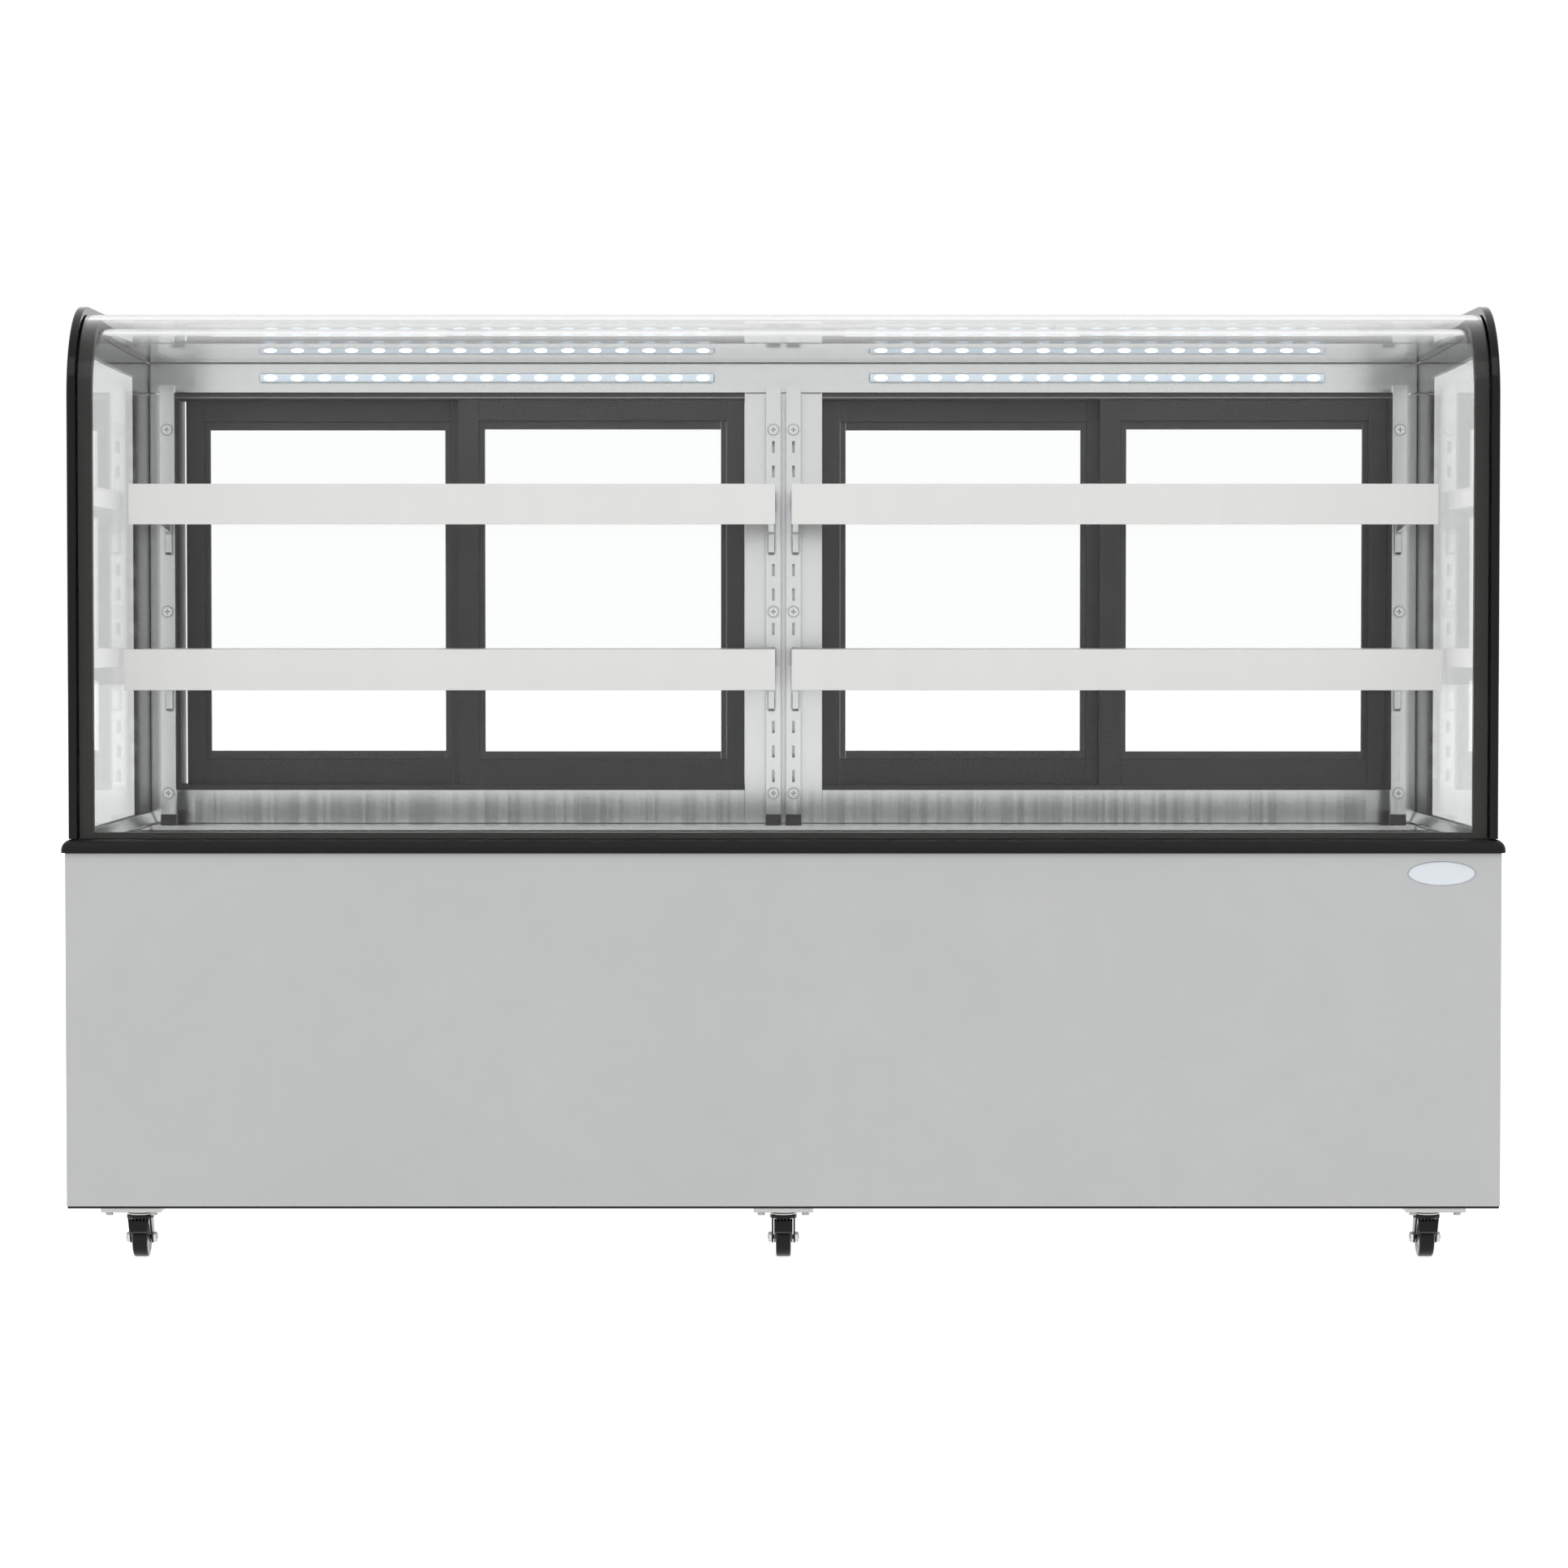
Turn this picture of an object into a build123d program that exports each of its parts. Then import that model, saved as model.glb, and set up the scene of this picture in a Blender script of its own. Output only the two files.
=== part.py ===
"""Bakery display case: a refrigerated counter with bent front glass, four shelves,
four sliding rear doors and six braked or plain swivel casters.

Millimetres, +Z up. The origin is on the floor under the middle of the case,
+X is the customer's right and the customer stands on the -Y side.
"""
from build123d import *
import math
import os

# ---------------------------------------------------------------- driving sizes
WIDTH = 1800.0            # steel base, side to side
DEPTH = 680.0             # steel base, front to back
RAIL_PROUD = 5.0          # how far the black counter rail stands out of the base
FRONT = -(DEPTH - RAIL_PROUD) / 2   # y of the front panel's face
SHEET = 1.5               # folded sheet steel
TUBE_WALL = 2.0           # square tubes and folded boxes
GAP = 0.3                 # assembly gap between pieces that are put together

BASE_FOOT = 72.0          # underside of the base
BASE_TOP = 516.3          # top of the base panels
RAIL_FOOT = 516.6
RAIL_TOP = 533.4
RAIL_HALF = WIDTH / 2 + RAIL_PROUD
RAIL_BACK = 40.0          # depth of the rail's front piece
RAIL_INNER = 870.0        # inner side of the rail's side pieces

GLASS_FRONT = 12.0        # depth of the outer pane's face
GLASS_TOP = 1197.0
BEND_RADIUS = 110.0
BEND_DEPTH = GLASS_FRONT + BEND_RADIUS
BEND_Z = GLASS_TOP - BEND_RADIUS
PANE = 6.0
GLAZING = 24.0            # two bent panes and the gap between them
GLASS_FOOT = 533.8
GLASS_REAR = 600.0
GLASS_HALF = 883.5
BORDER = 17.0             # black edge bars of the bent glass

SIDE_GLASS_INNER = 869.0
SIDE_GLASS_OUTER = 885.0
SIDE_PANE = 4.0
TRIM_INNER = 885.5
TRIM_OUTER = 896.0
TRIM_PROUD = 10.0         # how far the side trims stand out past the glass
TRIM_OVERLAP = 26.0
TRIM_REAR = 640.0

WALL = 557.0              # depth of the rear wall's inner face
WALL_BACK = 640.0
LEDGE_FRONT = 485.0
LEDGE_TOP = 530.0
DECK_TOP = 522.5
DECK_HALF = 860.5
SILL_TOP = 576.0
HEADER_FOOT = 1124.0
HEADER_TOP = 1172.0
JAMB_INNER = 834.5
JAMB_OUTER = 868.5
POST_HALF = 53.0

DOOR_WIDTH = 393.0
DOOR_FOOT = 579.5
DOOR_TOP = 1117.0
DOOR_THICK = 24.0
INNER_LANE = 563.0        # depth of the doors that run nearer the customer
OUTER_LANE = 595.0
DOOR_SLIT = 5.0           # the outer doors rest this far off their side channel
CHANNEL = 6.0
OUTER_STILE = 24.5
MEETING_STILE = 28.5
TOP_RAIL = 34.5
BOTTOM_RAIL = 38.0
SPACER_SIDE = 7.5
SPACER_END = 11.0

STANDARD_X = (836.0, 13.6)
STANDARD_DEPTH = 490.0
STANDARD_WIDE = 20.0
STANDARD_DEEP = 14.0
STANDARD_FOOT = 545.0
STANDARD_TOP = 1130.0
SLOT_PITCH = 33.3
SLOT_TALL = 16.0
SLOT_WIDE = 3.5
SLOT_GROUP = 7            # slots between one screw and the next
SCREW_HEIGHTS = (574.0, 820.5, 1067.0)

SHELF_LIP = 52.0
SHELF_RIM = 25.0
SHELF_BACK = 487.0
SHELF_ENDS = (10.5, 839.0)
UPPER_SHELF = (983.0, 146.0)   # height of the top face, depth of the front lip
LOWER_SHELF = (771.0, 103.0)
ARM_WIDE = 8.0            # folded channel, open towards the shelf
ARM_SHEET = 2.0
HOOK_THICK = 2.5

WHEEL_RADIUS = 25.0
AXLE_RADIUS = 3.0
RUNNING = 0.05            # radial clearance of every shaft in its hole
CASTER_X = 815.0
CASTER_DEPTH = 52.0       # swivel axis behind the front panel
TRAIL = 15.0

parts_made = []


def at(depth):
    """The y of a place that lies this far behind the front panel's face."""
    return FRONT + depth


def block(x, y, z, mode=Mode.ADD):
    """A box between two places on each axis, put into the part being built."""
    with Locations((sum(x) / 2, sum(y) / 2, sum(z) / 2)):
        Box(x[1] - x[0], y[1] - y[0], z[1] - z[0], mode=mode)


def tube_bar(x, y, z):
    """A square steel tube, open along its longest side, put into the part being built."""
    block(x, y, z)
    spans = [x, y, z]
    lengths = [high - low for low, high in spans]
    run = lengths.index(max(lengths))
    bore = []
    for index, (low, high) in enumerate(spans):
        wall = 0.0 if index == run else TUBE_WALL
        bore.append((low + wall, high - wall))
    block(*bore, mode=Mode.SUBTRACT)


def rod(radius, middle, length, around, mode=Mode.ADD):
    """A round bar with its middle at a point, lying along X, Y or Z."""
    turn = {"X": (0, 90, 0), "Y": (90, 0, 0), "Z": (0, 0, 0)}[around]
    with Locations(Location(middle, turn)):
        Cylinder(radius, length, mode=mode)


def bent_layer(outside, inside, foot, rear):
    """Side view of one layer of the bent glass: up the front, round the bend, to the rear."""
    with BuildSketch(Plane.YZ) as layer:
        with BuildLine():
            Line((at(GLASS_FRONT + outside), foot), (at(GLASS_FRONT + outside), BEND_Z))
            CenterArc((at(BEND_DEPTH), BEND_Z), BEND_RADIUS - outside, 180, -90)
            Line((at(BEND_DEPTH), GLASS_TOP - outside), (at(rear), GLASS_TOP - outside))
            Line((at(rear), GLASS_TOP - outside), (at(rear), GLASS_TOP - inside))
            Line((at(rear), GLASS_TOP - inside), (at(BEND_DEPTH), GLASS_TOP - inside))
            CenterArc((at(BEND_DEPTH), BEND_Z), BEND_RADIUS - inside, 90, 90)
            Line((at(GLASS_FRONT + inside), BEND_Z), (at(GLASS_FRONT + inside), foot))
            Line((at(GLASS_FRONT + inside), foot), (at(GLASS_FRONT + outside), foot))
        make_face()
    return layer.sketch


def side_outline(inset, foot, rear):
    """Side view of the space behind the bent glass, this far in from its outer face."""
    with BuildSketch(Plane.YZ) as outline:
        with BuildLine():
            Line((at(GLASS_FRONT + inset), foot), (at(GLASS_FRONT + inset), BEND_Z))
            CenterArc((at(BEND_DEPTH), BEND_Z), BEND_RADIUS - inset, 180, -90)
            Line((at(BEND_DEPTH), GLASS_TOP - inset), (at(rear), GLASS_TOP - inset))
            Line((at(rear), GLASS_TOP - inset), (at(rear), foot))
            Line((at(rear), foot), (at(GLASS_FRONT + inset), foot))
        make_face()
    return outline.sketch


def along_x(profile, x, mode=Mode.ADD):
    """Carry a side-view profile from one x to another, into the part being built."""
    moved = Pos(x[0], 0, 0) * profile
    extrude(to_extrude=moved, amount=x[1] - x[0], dir=(1, 0, 0), mode=mode)


def keep(builder, name):
    """Label a finished piece and write it as a STEP file of its own."""
    builder.part.label = name
    export_step(builder.part, f"parts/{name}.step")
    parts_made.append(name)


os.makedirs("parts", exist_ok=True)

# ---------------------------------------------------------------- base structure
TUBE = 30.0
FRAME_HALF = 884.0
FRAME_FRONT = 16.0
FRAME_BACK = 664.0
FRAME_FOOT = 76.0
TUB_FOOT = 400.0
CROSS_X = (-450.0, 0.0, 450.0)

with BuildPart() as base_frame:
    for low in (FRAME_FOOT, TUB_FOOT - TUBE - GAP):
        high = low + TUBE
        inner_front = FRAME_FRONT + TUBE + GAP
        inner_back = FRAME_BACK - TUBE - GAP
        tube_bar((-FRAME_HALF, FRAME_HALF), (at(FRAME_FRONT), at(FRAME_FRONT + TUBE)), (low, high))
        tube_bar((-FRAME_HALF, FRAME_HALF), (at(FRAME_BACK - TUBE), at(FRAME_BACK)), (low, high))
        for side in (-1, 1):
            edges = sorted((side * FRAME_HALF, side * (FRAME_HALF - TUBE)))
            tube_bar(edges, (at(inner_front), at(inner_back)), (low, high))
        for x in CROSS_X:
            tube_bar((x - TUBE / 2, x + TUBE / 2), (at(inner_front), at(inner_back)), (low, high))
    for x in (-FRAME_HALF + TUBE / 2, 0.0, FRAME_HALF - TUBE / 2):
        for depth in (FRAME_FRONT + TUBE / 2, FRAME_BACK - TUBE / 2):
            tube_bar(
                (x - TUBE / 2, x + TUBE / 2),
                (at(depth - TUBE / 2), at(depth + TUBE / 2)),
                (FRAME_FOOT + TUBE + GAP, TUB_FOOT - TUBE - 2 * GAP),
            )
    block((-FRAME_HALF, FRAME_HALF), (at(FRAME_FRONT), at(FRAME_BACK)), (BASE_FOOT + 2, FRAME_FOOT - GAP))
keep(base_frame, "base_frame")

# ---------------------------------------------------------------- base panels
FOLD = 14.0               # turned-in edge of a base panel
REAR_PLATE = 677.0        # depth of the rear panel's inner face
PANEL_BEND = 2.0

with BuildPart() as front_panel:
    block((-WIDTH / 2, WIDTH / 2), (at(0), at(FOLD)), (BASE_FOOT, BASE_TOP))
    inside = (BASE_FOOT + SHEET, BASE_TOP - SHEET)
    between = (-WIDTH / 2 + SHEET, WIDTH / 2 - SHEET)
    block(between, (at(SHEET), at(FOLD)), inside, Mode.SUBTRACT)
    front_edges = front_panel.edges().filter_by(Axis.X).group_by(Axis.Y)[0]
    fillet(front_edges, PANEL_BEND / 2)
keep(front_panel, "front_panel")

for name, side in (("left", -1), ("right", 1)):
    with BuildPart() as side_panel:
        outer = sorted((side * WIDTH / 2, side * (WIDTH / 2 - FOLD)))
        cut = sorted((side * (WIDTH / 2 - SHEET), side * (WIDTH / 2 - FOLD)))
        run = (at(FOLD + GAP), at(REAR_PLATE - GAP))
        block(outer, run, (BASE_FOOT, BASE_TOP))
        block(cut, run, inside, Mode.SUBTRACT)
    keep(side_panel, f"{name}_side_panel")

GRILLE_HALF = 818.0
GRILLE_FOOT = 100.0
GRILLE_TOP = 342.0
CONTROL_X = (480.0, 770.0)
CONTROL_Z = (385.0, 475.0)
GLAND_X = -700.0
GLAND_Z = 430.0
GLAND_RADIUS = 10.0

with BuildPart() as rear_panel:
    block((-WIDTH / 2, WIDTH / 2), (at(REAR_PLATE), at(REAR_PLATE + SHEET)), (BASE_FOOT, BASE_TOP))
    opening_x = (-GRILLE_HALF - 1, GRILLE_HALF + 1)
    opening_y = (at(REAR_PLATE), at(REAR_PLATE + SHEET))
    block(opening_x, opening_y, (GRILLE_FOOT - 1, GRILLE_TOP + 1), Mode.SUBTRACT)
    block(CONTROL_X, opening_y, CONTROL_Z, Mode.SUBTRACT)
    rod(GLAND_RADIUS + GAP, (GLAND_X, at(REAR_PLATE), GLAND_Z), 4 * SHEET, "Y", Mode.SUBTRACT)
keep(rear_panel, "rear_panel")

LOUVRE_PITCH = 20.0
LOUVRE_COUNT = 10
LOUVRE_DROP = 9.0         # each slat falls this far from inside to outside
LOUVRE_THICK = 1.6
GRILLE_FRAME = 14.0
GRILLE_IN = 6.0
GRILLE_OUT = 3.0
MULLION = 5.0

with BuildPart() as rear_grille:
    grille_y = (at(REAR_PLATE - GRILLE_IN), at(REAR_PLATE + GRILLE_OUT))
    block((-GRILLE_HALF, GRILLE_HALF), grille_y, (GRILLE_FOOT, GRILLE_TOP))
    window_z = (GRILLE_FOOT + GRILLE_FRAME, GRILLE_TOP - GRILLE_FRAME)
    for x in ((-GRILLE_HALF + GRILLE_FRAME, -MULLION), (MULLION, GRILLE_HALF - GRILLE_FRAME)):
        block(x, grille_y, window_z, Mode.SUBTRACT)
    with BuildSketch(Plane.YZ) as louvre:
        with BuildLine():
            Polyline(
                (grille_y[0], LOUVRE_DROP),
                (grille_y[1], 0.0),
                (grille_y[1], LOUVRE_THICK),
                (grille_y[0], LOUVRE_DROP + LOUVRE_THICK),
                close=True,
            )
        make_face()
    slat_x = (-GRILLE_HALF + GRILLE_FRAME / 2, GRILLE_HALF - GRILLE_FRAME / 2)
    for row in range(LOUVRE_COUNT):
        height = window_z[0] + LOUVRE_PITCH / 5 + row * LOUVRE_PITCH
        along_x(Pos(0, 0, height) * louvre.sketch, slat_x)
keep(rear_grille, "rear_grille")

# ---------------------------------------------------------------- counter rail
RAIL_ROUND = 13.0
RAIL_CORNER = 6.0

with BuildPart() as counter_rail:
    rail_z = (RAIL_FOOT, RAIL_TOP)
    block((-RAIL_HALF, RAIL_HALF), (at(-RAIL_PROUD), at(DEPTH)), rail_z)
    block((-RAIL_INNER, RAIL_INNER), (at(RAIL_BACK), at(DEPTH)), rail_z, Mode.SUBTRACT)
    corners = counter_rail.edges().filter_by(Axis.Z).group_by(Axis.Y)[0]
    fillet(corners, RAIL_CORNER)
    top_edges = counter_rail.faces().sort_by(Axis.Z)[-1].outer_wire().edges()
    outer_edges = []
    for edge in top_edges:
        middle = edge @ 0.5
        if abs(middle.X) > RAIL_HALF - RAIL_PROUD or middle.Y < at(0):
            outer_edges.append(edge)
    fillet(outer_edges, RAIL_ROUND)
    for side in (-1, 1):
        cut = sorted((side * (RAIL_INNER - 1), side * (RAIL_HALF + 1)))
        block(cut, (at(RAIL_BACK), at(RAIL_BACK + GAP)), rail_z, Mode.SUBTRACT)
keep(counter_rail, "counter_rail")

# ---------------------------------------------------------------- cold well and deck
TUB_HALF = 867.0
TUB_WALL = 30.0
TUB_FRONT = 44.0
TUB_BACK = 636.0

with BuildPart() as insulated_tub:
    block((-TUB_HALF, TUB_HALF), (at(TUB_FRONT), at(TUB_BACK)), (TUB_FOOT, BASE_TOP))
    well_x = (-TUB_HALF + TUB_WALL, TUB_HALF - TUB_WALL)
    well_y = (at(TUB_FRONT + TUB_WALL), at(TUB_BACK - TUB_WALL))
    block(well_x, well_y, (TUB_FOOT + TUB_WALL, BASE_TOP), Mode.SUBTRACT)
keep(insulated_tub, "insulated_tub")

SILL_INNER = DECK_HALF + 1.0          # sloping sill under each side glass
SILL_HIGH = 546.0
SILL_LOW = 532.0

with BuildPart() as deck_pan:
    # floor tray with turned-down edges, and upturned flanges along both sides
    pan_y = (at(RAIL_BACK + 1), at(LEDGE_FRONT - 1))
    block((-DECK_HALF, DECK_HALF), pan_y, (RAIL_FOOT, DECK_TOP))
    block((-DECK_HALF + SHEET, DECK_HALF - SHEET), (pan_y[0] + SHEET, pan_y[1] - SHEET),
          (RAIL_FOOT, DECK_TOP - SHEET), Mode.SUBTRACT)
    for side in (-1, 1):
        flange = sorted((side * DECK_HALF, side * (DECK_HALF - SHEET)))
        block(flange, pan_y, (DECK_TOP, LEDGE_TOP - 0.5))
        # sloping sill under each side glass
        with BuildSketch(Plane.XZ.offset(-at(RAIL_BACK + 1))) as sill:
            with BuildLine():
                Polyline(
                    (side * JAMB_OUTER, SILL_HIGH),
                    (side * SILL_INNER, SILL_LOW),
                    (side * SILL_INNER, DECK_TOP + 0.5),
                    (side * JAMB_OUTER, DECK_TOP + 0.5),
                    close=True,
                )
            make_face()
        extrude(amount=-(WALL - RAIL_BACK - 2))
    # rear ledge that carries the shelf standards and the rear frame
    block((-DECK_HALF, DECK_HALF), (at(LEDGE_FRONT), at(WALL_BACK)), (RAIL_FOOT, LEDGE_TOP))
    block((-DECK_HALF + SHEET, DECK_HALF - SHEET), (at(LEDGE_FRONT + SHEET), at(WALL_BACK - SHEET)),
          (RAIL_FOOT, LEDGE_TOP - SHEET), Mode.SUBTRACT)
keep(deck_pan, "deck_pan")

# ---------------------------------------------------------------- glass and its edges
with BuildPart() as front_glass_outer:
    along_x(bent_layer(0, PANE, GLASS_FOOT, GLASS_REAR), (-GLASS_HALF, GLASS_HALF))
keep(front_glass_outer, "front_glass_outer")

with BuildPart() as front_glass_inner:
    along_x(bent_layer(GLAZING - PANE, GLAZING, GLASS_FOOT, GLASS_REAR), (-GLASS_HALF, GLASS_HALF))
keep(front_glass_inner, "front_glass_inner")

SIDE_INSET = GLAZING + 0.5

with BuildPart() as side_glass:
    pane_outline = side_outline(SIDE_INSET, GLASS_FOOT, WALL_BACK)
    for side in (-1, 1):
        inner_pane = sorted((side * SIDE_GLASS_INNER, side * (SIDE_GLASS_INNER + SIDE_PANE)))
        outer_pane = sorted((side * SIDE_GLASS_OUTER, side * (SIDE_GLASS_OUTER - SIDE_PANE)))
        along_x(pane_outline, inner_pane)
        along_x(pane_outline, outer_pane)
keep(side_glass, "side_glass")

BAND_FOOT = 1141.0        # lower edge of the side glass's black top band
SILL_LINE = 546.0         # where the side glass shows above its sloping sill
FOOT_BAR_TOP = 541.5      # top of the black bar along the bent glass's foot
TRIM_ROUND = 2.5
BAND_FRONT = 461.0        # front edge of its black rear band
EDGE_BAR = 12.0

with BuildPart() as glass_spacers:
    bar = (PANE + 0.2, GLAZING - PANE - 0.2)
    for side in (-1, 1):
        strip = sorted((side * GLASS_HALF, side * (GLASS_HALF - BORDER)))
        along_x(bent_layer(*bar, GLASS_FOOT, GLASS_REAR), strip)
    bar_half = GLASS_HALF - BORDER - GAP
    bar_y = (at(GLASS_FRONT + bar[0]), at(GLASS_FRONT + bar[1]))
    block((-bar_half, bar_half), bar_y, (GLASS_FOOT, FOOT_BAR_TOP))
    bar_z = (GLASS_TOP - bar[1], GLASS_TOP - bar[0])
    block((-bar_half, bar_half), (at(GLASS_REAR - EDGE_BAR), at(GLASS_REAR)), bar_z)
    # bands between the side panes: top, rear, foot and front
    outer_line = side_outline(SIDE_INSET, GLASS_FOOT, WALL_BACK)
    for side in (-1, 1):
        between = sorted((
            side * (SIDE_GLASS_INNER + SIDE_PANE + 0.2),
            side * (SIDE_GLASS_OUTER - SIDE_PANE - 0.2),
        ))
        along_x(outer_line, between)
        window_y = (at(GLASS_FRONT + SIDE_INSET + EDGE_BAR), at(BAND_FRONT))
        block(between, window_y, (SILL_LINE, BAND_FOOT), Mode.SUBTRACT)
keep(glass_spacers, "glass_spacers")

for name, side in (("left", -1), ("right", 1)):
    with BuildPart() as side_trim:
        strip = sorted((side * TRIM_INNER, side * TRIM_OUTER))
        along_x(bent_layer(-TRIM_PROUD, TRIM_OVERLAP, GLASS_FOOT, TRIM_REAR), strip)
        long_edges = side_trim.faces().sort_by(Axis.X)[-1 if side > 0 else 0].edges()
        fillet(long_edges.filter_by(lambda e: e.length > 2 * TRIM_OVERLAP), TRIM_ROUND)
    keep(side_trim, f"{name}_side_trim")

# ---------------------------------------------------------------- rear wall
with BuildPart() as rear_frame:
    post_z = (LEDGE_TOP + 0.5, HEADER_FOOT - 3)
    frame_y = (at(WALL), at(WALL_BACK))
    tube_bar((-JAMB_OUTER, -JAMB_INNER), frame_y, post_z)
    tube_bar((JAMB_INNER, JAMB_OUTER), frame_y, post_z)
    tube_bar((-POST_HALF, POST_HALF), frame_y, post_z)
    for side in (-1, 1):
        sill_x = sorted((side * (POST_HALF + GAP), side * (JAMB_INNER - GAP)))
        tube_bar(sill_x, frame_y, (LEDGE_TOP + 0.5, SILL_TOP))
    # folded ledge behind the doors
    tube_bar((-RAIL_INNER + 1, RAIL_INNER - 1), (at(WALL_BACK + 1), at(DEPTH)), (RAIL_FOOT, RAIL_TOP))
keep(rear_frame, "rear_frame")

with BuildPart() as top_header:
    block((-JAMB_OUTER, JAMB_OUTER), (at(WALL), at(WALL_BACK)), (HEADER_FOOT, HEADER_TOP))
    upstand = (at(GLASS_REAR + 1), at(WALL_BACK))
    block((-JAMB_OUTER, JAMB_OUTER), upstand, (HEADER_TOP, GLASS_TOP + TUBE_WALL))
    hollow = (-JAMB_OUTER + TUBE_WALL, JAMB_OUTER - TUBE_WALL)
    hollow_y = (at(WALL + TUBE_WALL), at(WALL_BACK - TUBE_WALL))
    block(hollow, hollow_y, (HEADER_FOOT + TUBE_WALL, HEADER_TOP - TUBE_WALL), Mode.SUBTRACT)
    block(hollow, (upstand[0] + TUBE_WALL, hollow_y[1]), (HEADER_TOP - TUBE_WALL, GLASS_TOP), Mode.SUBTRACT)
keep(top_header, "top_header")

LED_BARS = ((-716.0, -96.0), (119.0, 740.0))
LED_BAR_Z = (1140.0, 1153.0)
LED_BAR_DEEP = 8.0
LED_BAR_ROUND = 2.5

with BuildPart() as led_strips:
    for ends in LED_BARS:
        block(ends, (at(WALL - LED_BAR_DEEP), at(WALL) - 0.2), LED_BAR_Z)
    fillet(led_strips.edges().filter_by(Axis.X).group_by(Axis.Y)[0], LED_BAR_ROUND)
keep(led_strips, "led_strips")

TRACK_Y = (560.0, 622.0)
TOP_TRACK = (1111.6, 1123.6)
FOOT_TRACK = (576.3, 583.0)
TRACK_PLAY = 0.5

with BuildPart() as door_tracks:
    for side in (-1, 1):
        bay = sorted((side * (POST_HALF + GAP), side * (JAMB_INNER - GAP)))
        for track in (TOP_TRACK, FOOT_TRACK):
            block(bay, (at(TRACK_Y[0]), at(TRACK_Y[1])), track)
        for lane in (INNER_LANE, OUTER_LANE):
            groove_y = (at(lane - TRACK_PLAY), at(lane + DOOR_THICK + TRACK_PLAY))
            block(bay, groove_y, (TOP_TRACK[0], DOOR_TOP + TRACK_PLAY), Mode.SUBTRACT)
            block(bay, groove_y, (DOOR_FOOT - TRACK_PLAY, FOOT_TRACK[1]), Mode.SUBTRACT)
        channel = sorted((side * (JAMB_INNER - GAP), side * (JAMB_INNER - CHANNEL)))
        block(channel, (at(TRACK_Y[0]), at(TRACK_Y[1])), (FOOT_TRACK[1] + GAP, TOP_TRACK[0] - GAP))
keep(door_tracks, "door_tracks")

# ---------------------------------------------------------------- sliding doors
PULL_Z = (800.0, 900.0)
PULL_WIDE = 14.0
PULL_DEEP = 9.0
DOOR_PANE = 4.0
PANE_INSET = 3.0          # a door's panes sit this far inside its faces


def door_frame(x0, lane, meets_right):
    """Four black profiles and the spacer bars between a sliding door's two panes."""
    x1 = x0 + DOOR_WIDTH
    left = OUTER_STILE if meets_right else MEETING_STILE
    right = MEETING_STILE if meets_right else OUTER_STILE
    y = (at(lane), at(lane + DOOR_THICK))
    bed = PANE_INSET + DOOR_PANE + 0.2
    spacer_y = (at(lane + bed), at(lane + DOOR_THICK - bed))
    inner_x = (x0 + left + GAP, x1 - right - GAP)
    inner_z = (DOOR_FOOT + BOTTOM_RAIL + GAP, DOOR_TOP - TOP_RAIL - GAP)
    with BuildPart() as frame:
        block((x0, x0 + left), y, (DOOR_FOOT, DOOR_TOP))
        block((x1 - right, x1), y, (DOOR_FOOT, DOOR_TOP))
        block(inner_x, y, (DOOR_FOOT, inner_z[0] - GAP))
        block(inner_x, y, (inner_z[1] + GAP, DOOR_TOP))
        pull_x = x0 + left / 2 if meets_right else x1 - right / 2
        pull = (pull_x - PULL_WIDE / 2, pull_x + PULL_WIDE / 2)
        block(pull, (y[1] - PULL_DEEP, y[1]), PULL_Z, Mode.SUBTRACT)
        block((inner_x[0], inner_x[0] + SPACER_SIDE), spacer_y, inner_z)
        block((inner_x[1] - SPACER_SIDE, inner_x[1]), spacer_y, inner_z)
        between = (inner_x[0] + SPACER_SIDE + GAP, inner_x[1] - SPACER_SIDE - GAP)
        block(between, spacer_y, (inner_z[0], inner_z[0] + SPACER_END))
        block(between, spacer_y, (inner_z[1] - SPACER_END, inner_z[1]))
    return frame


def door_glass(x0, lane, meets_right):
    """The two clear panes of a sliding door."""
    left = OUTER_STILE if meets_right else MEETING_STILE
    right = MEETING_STILE if meets_right else OUTER_STILE
    x = (x0 + left + GAP, x0 + DOOR_WIDTH - right - GAP)
    z = (DOOR_FOOT + BOTTOM_RAIL + GAP, DOOR_TOP - TOP_RAIL - GAP)
    with BuildPart() as panes:
        for depth in (lane + PANE_INSET, lane + DOOR_THICK - PANE_INSET - DOOR_PANE):
            block(x, (at(depth), at(depth + DOOR_PANE)), z)
    return panes


BAY_SIDE = JAMB_INNER - CHANNEL
DOORS = (
    ("left_bay_left_door", -BAY_SIDE + DOOR_SLIT, OUTER_LANE, True),
    ("left_bay_right_door", -POST_HALF - 0.5 - DOOR_WIDTH, INNER_LANE, False),
    ("right_bay_left_door", POST_HALF + 0.5, OUTER_LANE, True),
    ("right_bay_right_door", BAY_SIDE - 1.0 - DOOR_WIDTH, INNER_LANE, False),
)
for name, left_edge, lane, meets_right in DOORS:
    keep(door_frame(left_edge, lane, meets_right), f"{name}_frame")
    keep(door_glass(left_edge, lane, meets_right), f"{name}_glass")

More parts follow.
